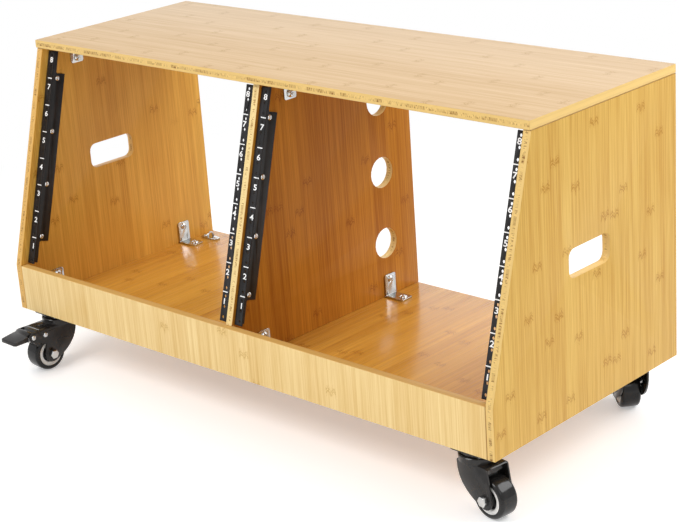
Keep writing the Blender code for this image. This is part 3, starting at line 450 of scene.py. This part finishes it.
# %% Finishes for the six boards
side_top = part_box("side_board_right")[1][2]
kick_ends = skins("kick_board", "X")
left_skins = skins("side_board_left", "X")
right_skins = skins("side_board_right", "X")
# Painted shade: deeper tones for the sides' inner faces, standing for the bays' shade and amber bounce
# light.
bay_shade_tones = shades((248, 196, 92), (200, 138, 50))
side_tones = shades((231, 193, 106), (187, 135, 51))
wear("top_board", bamboo(
    "bamboo_top", "X", "Y", "Z", skins("top_board", "Z"),
    shades((222, 192, 152), (194, 157, 106)), EDGES, 0.38, 1.0, shine=0.14, coat=0.0))
wear("side_board_right", bamboo(
    "bamboo_right", "Z", "Y", "X", right_skins, side_tones, EDGES, 0.40, 2.0,
    (toward("X", right_skins[1] - 1 * MM, right_skins[0] + 1 * MM), bay_shade_tones), [("Z", side_top)]))
wear("side_board_left", bamboo(
    "bamboo_left", "Z", "Y", "X", left_skins, side_tones, SHADED_AMBER_EDGES, 0.38, 3.0,
    (toward("X", left_skins[0] + 1 * MM, left_skins[1] - 1 * MM), bay_shade_tones), [("Z", side_top)]))
# The divider's deeper caramel is partly its own tone and partly painted shade and amber bounce light of the
# bays.
wear("divider_board", bamboo(
    "bamboo_divider", "Z", "Y", "X", skins("divider_board", "X"),
    shades((213, 147, 52), (160, 94, 25)), LIT_PALE_EDGES, 0.34, 4.0, shine=0.1, coat=0.0))
# The bays' floor is deeper partly in its own tone and partly as painted shade and amber bounce light of the
# bays.
wear("bottom_board", bamboo(
    "bamboo_floor", "Y", "X", "Z", skins("bottom_board", "Z"),
    shades((238, 182, 80), (186, 123, 42)), EDGES, 0.26, 5.0, shine=0.2, coat=0.16))
wear("kick_board", bamboo(
    "bamboo_kick", "Z", "X", "Y", skins("kick_board", "Y"),
    shades((252, 226, 166), (216, 174, 100)), SHADED_AMBER_EDGES, 0.42, 6.0,
    joints=[("X", kick_ends[0]), ("X", kick_ends[1])]))
print("boards dressed; outer skins in mm:", [round(v / MM, 1) for v in (left_skins[0], right_skins[1])])

# %% [markdown]
# ## Metal, paint, rubber and plastic
# The rails are powder coated: a satin black with a very fine orange-peel bump. The casters' steel is a
# smoother black that mirrors the room. Bright zinc on brackets and screws has a faint warm drift and fine
# brushing. The tyres are black rubber with a soft sheen, the rims a pale moulded plastic, and the hubs are
# black. Two recipes make all of them: a paint, which is one colour with grains in it, and a brushed metal.

# %% Paint and zinc, each with its own grain
def powder_coat(name, colour, shine, roughness, grain, depth):
    """Paint: one colour with slow tone changes, and a bump of round grains."""
    f = Finish(name)
    slow = f.noise(f.place, 40.0, 2.0)
    fine = f.noise(f.place, grain, 1.0)
    lighter = tuple(min(1.0, c * 1.7 + 0.004) for c in colour[:3]) + (1.0,)
    f.surface(Base_Color=f.mix(f.ramp(slow, 0.35, 0.7), colour, lighter))
    f.surface(Roughness=f.maths("MULTIPLY_ADD", slow, 0.12, roughness - 0.06))
    f.surface(Specular_IOR_Level=shine, Coat_Weight=0.0)
    f.bump(fine, depth)
    return f.material


def bright_zinc(name, colour, roughness):
    """Plated steel: metal whose tint and roughness drift, with fine brushing lines."""
    f = Finish(name)
    slow = f.noise(f.place, 90.0, 2.0)
    lines = f.grain(f.axis["X"], 300.0, f.axis["Y"], 2500.0, f.maths("MULTIPLY", f.axis["Z"], 300.0), 2.0)
    warm = (colour[0], colour[1] * 0.97, colour[2] * 0.90, 1.0)
    f.surface(Base_Color=f.mix(f.ramp(slow, 0.3, 0.7), colour, warm), Metallic=1.0)
    f.surface(Roughness=f.maths("MULTIPLY_ADD", lines, 0.14, roughness - 0.07))
    f.bump(lines, 0.003 * MM)
    return f.material


rail_black = powder_coat("rail_powder_coat", screen_colour(24, 23, 24), 0.24, 0.36, 2600.0, 0.02 * MM)
caster_black = powder_coat("caster_gloss_black", screen_colour(30, 28, 27), 0.32, 0.10, 900.0, 0.003 * MM)
zinc = bright_zinc("bright_zinc", (0.56, 0.57, 0.58, 1.0), 0.15)
screw_zinc = bright_zinc("screw_zinc", (0.68, 0.69, 0.70, 1.0), 0.14)
tyre_rubber = powder_coat("tyre_rubber", screen_colour(20, 19, 19), 0.30, 0.12, 1800.0, 0.003 * MM)
wheel_plastic = powder_coat("wheel_plastic", screen_colour(236, 233, 228), 0.45, 0.34, 1500.0, 0.01 * MM)
# The web and hub sunk inside each rim are drawn black.
hub_black = powder_coat("black_hub", screen_colour(22, 21, 21), 0.4, 0.45, 1500.0, 0.01 * MM)
mark_white = powder_coat("printed_white", screen_colour(244, 244, 243), 0.3, 0.5, 2000.0, 0.002 * MM)
for name in node:
    if name.startswith("rail_"):
        wear(name, rail_black)
    elif name.startswith(("bracket_", "lashing_eye", "axle_", "kingpin_", "brake_pin_", "fork_rivet_")):
        wear(name, zinc)
    elif name.startswith(("caster_mount_", "fork_front", "fork_rear", "brake_pedal_")):
        wear(name, caster_black)
    elif name.startswith("tyre_"):
        wear(name, tyre_rubber)
    elif name.startswith("wheel_core_"):
        wear(name, wheel_plastic)
print("finishes:", len(bpy.data.materials))

# %% [markdown]
# ## Surfaces from arrays
# A turned piece or a screw head below is a grid of points: rows along a profile, columns
# round the axis. Neighbouring points make four-sided faces. Where a row shrinks to a
# point, in the middle of a screw head, merging the doubles closes the pole.

# %% From arrays of points to a finished piece
CREASE = 38


def new_piece(name, points, faces, body, finish, crease=CREASE):
    """Points and faces become a closed piece that rides on one moving body."""
    mesh = bpy.data.meshes.new(name)
    mesh.from_pydata(points.tolist(), [], faces)
    shape = bmesh.new()
    shape.from_mesh(mesh)
    bmesh.ops.remove_doubles(shape, verts=shape.verts, dist=1e-6)
    bmesh.ops.dissolve_degenerate(shape, edges=shape.edges, dist=1e-7)
    bmesh.ops.recalc_face_normals(shape, faces=shape.faces)
    shape.to_mesh(mesh)
    shape.free()
    mesh.shade_smooth()
    mesh.set_sharp_from_angle(angle=math.radians(crease))
    mesh.materials.append(finish)
    piece = bpy.data.objects.new(name, mesh)
    bpy.context.scene.collection.objects.link(piece)
    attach(piece, body)
    return piece


def lay_surfaces(name, grids, body, finish, crease=CREASE):
    """Faces join row i to row i + 1 and column j to column j + 1, the last to the first."""
    points, faces, count = [], [], 0
    for grid in grids:
        rows, columns = grid.shape[:2]
        index = count + np.arange(rows * columns).reshape(rows, columns)
        after = np.roll(index, -1, axis=1)
        quads = np.stack([index[:-1], after[:-1], after[1:], index[1:]], axis=-1).reshape(-1, 4)
        points.append(grid.reshape(-1, 3))
        faces += quads.tolist()
        count += rows * columns
    return new_piece(name, np.concatenate(points), faces, body, finish, crease)


print("edges that turn more than", CREASE, "degrees stay crisp")


# %% Profiles, rounded and turned
def frame_about(axis):
    """Two unit directions square to an axis and to each other."""
    axis = np.asarray(axis, float) / np.linalg.norm(axis)
    helper = np.array([0.0, 0.0, 1.0]) if abs(axis[2]) < 0.9 else np.array([0.0, 1.0, 0.0])
    first = np.cross(helper, axis)
    first /= np.linalg.norm(first)
    return axis, first, np.cross(axis, first)


def turned(profile, spot, axis, steps=64):
    """Turned shape: spot + height * axis + radius * (cos t, sin t) across it, t round a circle."""
    profile = np.asarray(profile, float)
    axis, first, second = frame_about(axis)
    angle = np.linspace(0, 2 * np.pi, steps, endpoint=False)
    ring = np.cos(angle)[:, None] * first + np.sin(angle)[:, None] * second
    return np.asarray(spot) + profile[:, 1, None, None] * axis + profile[:, 0, None, None] * ring


def softened(profile, radius, steps=4, closed=False):
    """Round a profile's corners: each becomes a curve (1-t)^2 a + 2t(1-t) b + t^2 c.

    a and c lie radius away from the corner b along its two sides, or half a side.
    """
    profile = np.asarray(profile, float)
    made = [] if closed else [profile[:1]]
    count = len(profile)
    t = np.linspace(0, 1, steps + 1)[:, None]
    for i in range(0 if closed else 1, count if closed else count - 1):
        before, corner, after = profile[i - 1], profile[i], profile[(i + 1) % count]
        back, ahead = before - corner, after - corner
        a = corner + back * min(0.5, radius / np.linalg.norm(back))
        c = corner + ahead * min(0.5, radius / np.linalg.norm(ahead))
        made.append((1 - t) ** 2 * a + 2 * t * (1 - t) * corner + t ** 2 * c)
    if not closed:
        made.append(profile[-1:])
    made = np.concatenate(made)
    return np.concatenate([made, made[:1]]) if closed else made


print("points in one rounded corner:", len(softened([(0, 0), (1, 0), (1, 1)], 0.2)) - 2)

# %% [markdown]
# ## Wheels
# Each wheel turns about its axle bolt. The tyre is a ring with round shoulders. A broad
# pale rim with one fine groove holds it, and a black web and hub are sunk inside the rim.
# All three are turned shapes, so one profile each is enough, and the four wheels share
# them. The place and direction of each axle come from the packed record's joints.

# %% Tyres and wheel centres
CORNERS = ("front_left", "front_right", "rear_left", "rear_right")
BRAKED = ("front_left", "rear_right")
WHEEL_RADIUS = joint["spin_front_left"]["pos_m"][2]
WHEEL_HALF = 15.2 * MM
WHEEL_STEPS = 96
RIM_RADIUS = 22.5 * MM
SHOULDER = 26.3 * MM
CROWN = 0.25 * MM
tyre_profile = softened(
    [(RIM_RADIUS, -WHEEL_HALF), (SHOULDER, -WHEEL_HALF), (WHEEL_RADIUS - CROWN, -WHEEL_HALF + 3.0 * MM),
     (WHEEL_RADIUS, 0.0),
     (WHEEL_RADIUS - CROWN, WHEEL_HALF - 3.0 * MM), (SHOULDER, WHEEL_HALF), (RIM_RADIUS, WHEEL_HALF)],
    2.6 * MM, 5)
tyre_profile = np.concatenate([tyre_profile, tyre_profile[:1]])


def wheel_profile(half):
    """Both sides of a wheel part from one side's (radius, height) rows in mm."""
    half = np.array(half) * MM
    return softened(np.concatenate([half, (half * [1, -1])[::-1]]), 0.35 * MM, 2, closed=True)


rim_profile = wheel_profile([
    (15.2, 12.0), (16.0, 13.6), (19.3, 14.0), (19.5, 13.3),
    (20.1, 13.3), (20.3, 14.1), (21.9, 14.2), (22.3, 13.6)])
hub_profile = wheel_profile([(4.2, 9.2), (9.4, 9.2), (9.8, 7.6), (14.2, 7.0), (14.6, 11.2), (15.1, 11.6)])
for corner in CORNERS:
    spin = joint["spin_" + corner]
    body = spin["child"]
    about = spin["pos_m"], spin["axis"], WHEEL_STEPS
    tyre = lay_surfaces("tread_" + corner, [turned(tyre_profile, *about)], body, tyre_rubber)
    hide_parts("tyre_" + corner)
    rim = lay_surfaces("wheel_rim_" + corner, [turned(rim_profile, *about)], body, wheel_plastic)
    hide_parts("wheel_core_" + corner)
    lay_surfaces("wheel_hub_" + corner, [turned(hub_profile, *about)], body, hub_black)
print("wheel radius in mm:", round(WHEEL_RADIUS / MM, 2), "faces per tyre:", len(tyre.data.polygons))

# %% [markdown]
# ## Sanded boards and pressed steel
# Forks, mounting plates, pedals, rails and brackets are bent and pressed sheet, and the
# boards' edges are sanded. Their packed solids have the right outline, but every face is
# cut into loose triangles and every edge is knife sharp. A copy whose doubles are merged
# and whose flat faces are joined again can take a small bevel. The bevel catches the
# light along an edge, and where two boards meet it leaves the fine dark joint line.

# %% A bevelled copy of a packed solid
def eased_copy(name, source, body, finish, edge, crease=30):
    """Merge the triangles of a packed solid, join the flat ones, and round the edges."""
    mesh = node[source].data.copy()
    mesh.name = name
    shape = bmesh.new()
    shape.from_mesh(mesh)
    bmesh.ops.remove_doubles(shape, verts=shape.verts, dist=2e-6)
    bmesh.ops.dissolve_limit(shape, angle_limit=math.radians(0.6), verts=shape.verts, edges=shape.edges)
    shape.to_mesh(mesh)
    shape.free()
    mesh.materials.clear()
    mesh.materials.append(finish)
    mesh.shade_smooth()
    piece = bpy.data.objects.new(name, mesh)
    bpy.context.scene.collection.objects.link(piece)
    bevel = piece.modifiers.new("edge", "BEVEL")
    bevel.width = edge
    bevel.segments = 2
    bevel.limit_method = "ANGLE"
    bevel.angle_limit = math.radians(crease)
    bevel.harden_normals = True
    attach(piece, body)
    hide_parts(source)
    return piece


SANDED_EDGE, FORK_EDGE, PLATE_EDGE, PEDAL_EDGE = 0.6 * MM, 0.75 * MM, 0.6 * MM, 0.4 * MM
SHEET_EDGE, BOLT_EDGE, EYE_EDGE = 0.35 * MM, 0.35 * MM, 0.3 * MM
BOARDS = ("top_board", "side_board_left", "side_board_right", "divider_board", "bottom_board", "kick_board")
for name in BOARDS:
    eased_copy("sanded_" + name, name, "cabinet", node[name].data.materials[0], SANDED_EDGE)
for corner in CORNERS:
    swivel = joint["swivel_" + corner]["child"]
    eased_copy("pressed_fork_" + corner, "fork_" + corner, swivel, caster_black, FORK_EDGE)
    eased_copy("mounting_plate_" + corner, "caster_mount_" + corner, "cabinet", caster_black, PLATE_EDGE)
    eased_copy("axle_bolt_" + corner, "axle_" + corner, swivel, zinc, BOLT_EDGE)
for corner in BRAKED:
    pedal = joint["brake_" + corner]["child"]
    eased_copy("pedal_" + corner, "brake_pedal_" + corner, pedal, caster_black, PEDAL_EDGE)
# 1 where a rail's flange reaches to the right of its board, -1 where it reaches to the left
RAILS = {
    "rail_left_bay_left": 1, "rail_left_bay_right": -1,
    "rail_right_bay_left": 1, "rail_right_bay_right": -1}
for name in RAILS:
    eased_copy("pressed_" + name, name, "cabinet", rail_black, SHEET_EDGE)
brackets = [name for name in node if name.startswith("bracket_")]
for name in brackets:
    eased_copy("bent_" + name, name, "cabinet", zinc, SHEET_EDGE)
eased_copy("cast_lashing_eye", "lashing_eye", "cabinet", zinc, EYE_EDGE, crease=50)
print("bevelled copies:", sum(piece.modifiers.find("edge") >= 0 for piece in bpy.data.objects))

# %% [markdown]
# ## Screws
# Every screw is a low dome with a cross-shaped recess. A grid in polar steps makes it:
# each point's height is the dome's height there, less the depth of the cross. The cross
# is where either of the two plane coordinates is small and the point is near the middle.
# The rails' flat leaves carry four pan heads each, the corner brackets broad button
# heads, the lashing eye two small ones, and the casters' plates four each from below.

# %% Heads with a cross recess
HEAD_STEPS = 40
HEAD_SUNK = -0.3 * MM


def screw_head(radius, height):
    """Rows from the pole below, out over the rim, to the pole on top.

    Dome: z = height (1 - 0.7 q^3), q from 0 at the middle to 1 at the rim. Recess: depth
    times a smooth step in |x|, |y| and the distance from the middle.
    """
    share = np.concatenate([np.linspace(1.0, 0.6, 4), np.linspace(0.55, 0.0, 12)])
    angle = np.linspace(0, 2 * np.pi, HEAD_STEPS, endpoint=False)
    x = radius * share[:, None] * np.cos(angle)
    y = radius * share[:, None] * np.sin(angle)
    dome = height * (1 - 0.7 * share[:, None] ** 3) * np.ones_like(x)

    def small(value, edge):
        """One while |value| is under the edge, nothing beyond it, and a slope between."""
        return np.clip((edge - np.abs(value)) / (0.25 * edge) + 0.5, 0, 1)

    arm, reach = 0.13 * radius, 0.50 * radius
    cross = np.maximum(small(x, arm), small(y, arm)) * small(np.hypot(x, y), reach)
    top = np.stack([x, y, dome - 0.45 * height * cross], axis=-1)
    rim = np.stack([radius * np.cos(angle), radius * np.sin(angle), np.full(HEAD_STEPS, HEAD_SUNK)], axis=-1)
    pole = np.zeros((HEAD_STEPS, 3)) + [0.0, 0.0, HEAD_SUNK]
    return np.concatenate([[pole], [rim], top])


def seated(head, spot, axis, turn):
    """Stand a head on a surface: x, y and z go along two plane directions and the axis."""
    axis, first, second = frame_about(axis)
    across = math.cos(turn) * first + math.sin(turn) * second
    upward = -math.sin(turn) * first + math.cos(turn) * second
    return np.asarray(spot) + head[..., :1] * across + head[..., 1:2] * upward + head[..., 2:] * axis


print("rows and columns in a screw head:", screw_head(4 * MM, 2 * MM).shape[:2])

# %% Where the rails stand
SLANT = math.radians(15.9)
RACK_UNIT = 44.45 * MM
UNITS = 8
UP_RAIL = np.array([0.0, math.sin(SLANT), math.cos(SLANT)])
INTO_RACK = np.array([0.0, math.cos(SLANT), -math.sin(SLANT)])
rail_foot = {}
for name, side in RAILS.items():
    low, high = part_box(name)
    edge = low[0] if side > 0 else high[0]
    rail_foot[name] = np.array([edge, low[1], high[2] - UNITS * RACK_UNIT * math.cos(SLANT)])
print("slant in degrees:", round(math.degrees(SLANT), 1), "rail in mm:", round(UNITS * RACK_UNIT / MM, 1))

# %% Screws on the rails
LEAF_SHEET = 2.0 * MM
LEAF_MIDDLE = 22.6 * MM
SCREWED_UNITS = (1, 3, 5, 7)
pan_head = screw_head(4.4 * MM, 2.4 * MM)
rail_screws = []
for name, side in RAILS.items():
    for count, unit in enumerate(SCREWED_UNITS):
        spot = rail_foot[name] + unit * RACK_UNIT * UP_RAIL + LEAF_MIDDLE * INTO_RACK
        spot[0] += side * LEAF_SHEET
        rail_screws.append(seated(pan_head, spot, (side, 0, 0), 0.5 * count + 0.3 * side))
lay_surfaces("rail_screws", rail_screws, "cabinet", screw_zinc, crease=50)
print("rail screws:", len(rail_screws))

# %% Screws on the brackets
BRACKET_SHEET = 2.5 * MM
BRACKET_HOLE = 29.0 * MM
button_head = screw_head(6.2 * MM, 3.8 * MM)
bracket_screws = []
for count, name in enumerate(brackets):
    low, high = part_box(name)
    side = -1 if "right" in name else 1
    upright = -1 if "high" in name else 1
    corner_x = low[0] if side > 0 else high[0]
    corner_z = low[2] if upright > 0 else high[2]
    middle = (low[1] + high[1]) / 2
    on_board = (corner_x + side * BRACKET_SHEET, middle, corner_z + upright * BRACKET_HOLE)
    on_floor = (corner_x + side * BRACKET_HOLE, middle, corner_z + upright * BRACKET_SHEET)
    bracket_screws.append(seated(button_head, on_board, (side, 0, 0), 0.4 + 0.7 * count))
    bracket_screws.append(seated(button_head, on_floor, (0, 0, upright), 0.9 * count))
lay_surfaces("bracket_screws", bracket_screws, "cabinet", screw_zinc, crease=50)
print("bracket screws:", len(bracket_screws))

# %% Screws on the lashing eye and under the casters' plates
EYE_HOLE, EYE_SHEET = 14.0 * MM, 2.0 * MM
PLATE_HOLE, PLATE_SHEET = 22.0 * MM, 3.0 * MM
small_head = screw_head(3.6 * MM, 2.0 * MM)
plate_head = screw_head(4.4 * MM, 2.2 * MM)
low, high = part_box("lashing_eye")
eye_screws = []
for side in (-1, 1):
    spot = ((low[0] + high[0]) / 2 + side * EYE_HOLE, (low[1] + high[1]) / 2, low[2] + EYE_SHEET)
    eye_screws.append(seated(small_head, spot, (0, 0, 1), 0.6 * side))
lay_surfaces("eye_screws", eye_screws, "cabinet", screw_zinc, crease=50)

plate_screws = []
for corner in CORNERS:
    low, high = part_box("caster_mount_" + corner)
    for step_x in (-PLATE_HOLE, PLATE_HOLE):
        for step_y in (-PLATE_HOLE, PLATE_HOLE):
            spot = ((low[0] + high[0]) / 2 + step_x, (low[1] + high[1]) / 2 + step_y, high[2] - PLATE_SHEET)
            plate_screws.append(seated(plate_head, spot, (0, 0, -1), 40 * step_x + 90 * step_y))
lay_surfaces("plate_screws", plate_screws, "cabinet", screw_zinc, crease=50)
print("eye screws:", len(eye_screws), "plate screws:", len(plate_screws))

# %% [markdown]
# ## Rivets and the pedals' pins
# A riveted pin is a rod with a domed head pressed out at each end. Its length is read
# from the packed solid: how far the solid's points reach along the pin from its middle.

# %% Domed rivets
RIVET_HEAD, RIVET_SHANK, RIVET_DOME = 4.2 * MM, 2.4 * MM, 1.8 * MM


def riveted(name, source, spot, axis, body):
    """A rod of RIVET_SHANK radius with a head at each end, turned about its axis.

    A head's profile is a quarter of an ellipse: radius RIVET_HEAD cos t, and height
    RIVET_DOME sin t, with t from a quarter turn down to nothing.
    """
    points = np.array([tuple(vertex.co) for vertex in node[source].data.vertices])
    axis = np.asarray(axis, float) / np.linalg.norm(axis)
    along = (points - spot) @ axis
    half = (along.max() - along.min()) / 2
    spot = np.asarray(spot) + axis * (along.max() + along.min()) / 2
    t = np.linspace(math.pi / 2, 0, 9)
    dome = np.stack([RIVET_HEAD * np.cos(t), half - RIVET_DOME + RIVET_DOME * np.sin(t)], axis=1)
    upper = np.concatenate([dome, [(RIVET_SHANK, half - RIVET_DOME)]])
    profile = np.concatenate([upper, (upper * [1, -1])[::-1]])
    piece = lay_surfaces(name, [turned(profile, spot, axis, steps=40)], body, zinc, crease=50)
    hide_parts(source)


for corner in BRAKED:
    swivel = joint["swivel_" + corner]["child"]
    axis = joint["spin_" + corner]["axis"]
    riveted("pedal_pin_" + corner, "brake_pin_" + corner, joint["brake_" + corner]["pos_m"], axis, swivel)
    low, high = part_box("fork_rivet_" + corner)
    middle = [(a + b) / 2 for a, b in zip(low, high)]
    riveted("rivet_" + corner, "fork_rivet_" + corner, middle, axis, swivel)
print("riveted pins and rivets:", 2 * len(BRAKED))

# %% [markdown]
# ## Printed unit marks
# A rack rail is divided into units of 44.45 mm. A short white line is printed on the
# flange at each division and the unit's number, counted from below, stands between its
# upper two holes. A font gives the digits' outlines. Each is made a mesh first, and its
# points are then laid on the flange: x across it and y up the slant. Lines and digits are
# a film of paint: their backs are sunk a little, so that no gap shows under them.

# %% Lines and numbers on the flanges
PRINT = 0.03 * MM
DIGIT_RISE, DIGIT_INSET = 30.25 * MM, 11.6 * MM
DIGIT_STRETCH, DIGIT_HEIGHT = 11.0 * MM, 8.8 * MM
PRINT_BACK, PRINT_FACE = -0.3, 1.0
LINE_ENDS, LINE_HALF = (6.6 * MM, 17.0 * MM), 0.75 * MM
BOX_FACES = ((0, 1, 3, 2), (4, 6, 7, 5), (0, 4, 5, 1), (2, 3, 7, 6), (0, 2, 6, 4), (1, 5, 7, 3))


def digit_shape(digit):
    """A thin bold digit as points and faces: its height is 1, its middle at zero."""
    curve = bpy.data.curves.new("digit_" + digit, "FONT")
    curve.body = digit
    curve.extrude = 0.001
    curve.offset = 0.02
    holder = bpy.data.objects.new("digit_" + digit, curve)
    bpy.context.scene.collection.objects.link(holder)
    bpy.context.view_layer.update()
    flat = holder.to_mesh()
    points = np.array([tuple(vertex.co) for vertex in flat.vertices])
    faces = [list(face.vertices) for face in flat.polygons]
    holder.to_mesh_clear()
    bpy.data.objects.remove(holder)
    bpy.data.curves.remove(curve)
    middle = (points.max(axis=0) + points.min(axis=0)) / 2
    return (points - middle) / (points[:, 1].max() - points[:, 1].min()), faces


digits = {unit: digit_shape(str(unit)) for unit in range(1, UNITS + 1)}
for name, side in RAILS.items():
    points, faces, count = [], [], 0
    for unit in range(1, UNITS + 1):
        shape, outline = digits[unit]
        origin = rail_foot[name] + ((unit - 1) * RACK_UNIT + DIGIT_RISE) * UP_RAIL
        origin[0] += side * DIGIT_INSET
        laid = origin + shape[:, :1] * DIGIT_STRETCH * [1, 0, 0] + shape[:, 1:2] * DIGIT_HEIGHT * UP_RAIL
        laid = laid - np.where(shape[:, 2:] > 0, PRINT_FACE, PRINT_BACK) * PRINT * INTO_RACK
        points.append(laid)
        faces += [[index + count for index in face] for face in outline]
        count += len(laid)
    for unit in range(1, UNITS):
        box = np.array([
            (x, y, z)
            for x in LINE_ENDS for y in (-LINE_HALF, LINE_HALF) for z in (PRINT_BACK, PRINT_FACE)])
        laid = rail_foot[name] + unit * RACK_UNIT * UP_RAIL + side * box[:, :1] * [1, 0, 0]
        laid = laid + box[:, 1:2] * UP_RAIL - box[:, 2:] * PRINT * INTO_RACK
        points.append(laid)
        faces += [[index + count for index in face] for face in BOX_FACES]
        count += len(laid)
    new_piece("unit_marks_" + name[5:], np.concatenate(points), faces, "cabinet", mark_white, crease=20)
print("marks per rail:", 2 * UNITS - 1)

# %% [markdown]
# ## The floor, the light and the white room
# The rack stands on a plain pale floor in a white room. The white could come from strong
# lamps, but those would bleach the rack. Instead the rays say what they are: to the
# camera, to mirrors and to glass the room is plain white, and for lighting it is under
# half as bright. The floor is lifted a little for the same rays, keeps the soft shadow,
# and fades into the room far from the rack, so no horizon shows.

# %% Floor
FLOOR_REACH = 9.0
FADE_START, FADE_END = 0.75, 1.6
FLOOR_LIFT = 0.34


def white_rays(tree):
    """One for a ray from the camera, a mirror or glass, and nothing for the rest.

    It is the greater of the three answers, so each of them is enough.
    """
    rays = tree.nodes.new("ShaderNodeLightPath")
    seen = rays.outputs["Is Camera Ray"]
    for kind in ("Is Transmission Ray", "Is Glossy Ray"):
        greater = tree.nodes.new("ShaderNodeMath")
        greater.operation = "MAXIMUM"
        tree.links.new(seen, greater.inputs[0])
        tree.links.new(rays.outputs[kind], greater.inputs[1])
        seen = greater.outputs[0]
    return seen


def lay_floor():
    """One wide square, whose finish fades to the room's white by distance from its middle."""
    x, y = np.meshgrid([-FLOOR_REACH, FLOOR_REACH], [-FLOOR_REACH, FLOOR_REACH])
    points = np.stack([x, y, np.zeros_like(x)], axis=-1).reshape(-1, 3)
    mesh = bpy.data.meshes.new("studio_floor")
    mesh.from_pydata(points.tolist(), [], [(0, 1, 3, 2)])
    floor = bpy.data.objects.new("studio_floor", mesh)
    bpy.context.scene.collection.objects.link(floor)
    f = Finish("studio_floor")
    f.surface(Base_Color=screen_colour(246, 246, 246), Roughness=0.6)
    radius = f.tree.nodes.new("ShaderNodeVectorMath")
    radius.operation = "LENGTH"
    f.wire(f.place, radius.inputs[0])
    far = f.ramp(radius.outputs["Value"], FADE_START, FADE_END)
    plain = f.tree.nodes.new("ShaderNodeEmission")
    plain.inputs["Strength"].default_value = 1.0
    seen = white_rays(f.tree)
    blend = f.tree.nodes.new("ShaderNodeMixShader")
    glow = f.tree.nodes.new("ShaderNodeEmission")
    f.wire(f.maths("MULTIPLY", seen, FLOOR_LIFT), glow.inputs["Strength"])
    lifted = f.tree.nodes.new("ShaderNodeAddShader")
    f.wire(f.shader.outputs[0], lifted.inputs[0])
    f.wire(glow.outputs[0], lifted.inputs[1])
    f.wire(f.maths("MULTIPLY", far, seen), blend.inputs[0])
    f.wire(lifted.outputs[0], blend.inputs[1])
    f.wire(plain.outputs[0], blend.inputs[2])
    f.wire(blend.outputs[0], f.tree.nodes["Material Output"].inputs["Surface"])
    mesh.materials.append(f.material)


lay_floor()
print("floor in metres:", 2 * FLOOR_REACH, "fades from", FADE_START, "to", FADE_END)

# %% The white room
ROOM_LIGHT = 0.45
bpy.context.scene.view_settings.view_transform = "Standard"
world = bpy.data.worlds.new("white_room")
bpy.context.scene.world = world
world.use_nodes = True
wires = world.node_tree
background = wires.nodes["Background"]
background.inputs["Color"].default_value = (1.0, 1.0, 1.0, 1.0)
level = wires.nodes.new("ShaderNodeMapRange")
level.inputs["To Min"].default_value = ROOM_LIGHT
level.inputs["To Max"].default_value = 1.0
wires.links.new(white_rays(wires), level.inputs["Value"])
wires.links.new(level.outputs[0], background.inputs["Strength"])
print("the room lights with", ROOM_LIGHT)

# %% [markdown]
# ## The lamps
# Soft studio light comes from large lamps, because a shadow is as soft as its lamp is
# wide. Four of them light the rack at a plain level: one above and in front, one at the
# right, one behind on the right, which shows as a bright square on the right wheel's
# tread, and one behind on the left, whose reflection is the sheen on the bays' floor.

# %% Soft lamps
def soft_lamp(name, spot, target, width, height, power):
    """Rectangular lamp at spot, facing target. Its -Z looks along target - spot."""
    data = bpy.data.lights.new(name, "AREA")
    data.shape = "RECTANGLE"
    data.size, data.size_y = width, height
    data.energy = power
    lamp = bpy.data.objects.new(name, data)
    bpy.context.scene.collection.objects.link(lamp)
    back = np.asarray(spot, float) - np.asarray(target, float)
    back /= np.linalg.norm(back)
    right = np.cross([0.0, 0.0, 1.0], back)
    right /= np.linalg.norm(right)
    turn = np.eye(4)
    turn[:3, :3] = np.stack([right, np.cross(back, right), back], axis=1)
    turn[:3, 3] = spot
    lamp.matrix_world = Matrix(turn.tolist())
    lamp.visible_camera = False


# name, spot, target, width and height in metres, and power in watts
LAMPS = (
    ("key_lamp", (-0.7, -2.5, 2.8), (0.0, 0.0, 0.3), 1.8, 1.4, 66),
    ("right_lamp", (2.7, -1.6, 2.3), (0.4, 0.0, 0.4), 1.4, 1.4, 10),
    ("back_right_lamp", (2.03, 1.31, 2.16), (0.4, -0.1, 0.1), 1.9, 1.5, 50),
    ("back_left_lamp", (-2.4, 2.8, 1.3), (0.2, 0.1, 0.1), 2.8, 1.8, 8),
)
for lamp_row in LAMPS:
    soft_lamp(*lamp_row)
print("lamps:", len(LAMPS), "watts in all:", sum(row[-1] for row in LAMPS))

# %% [markdown]
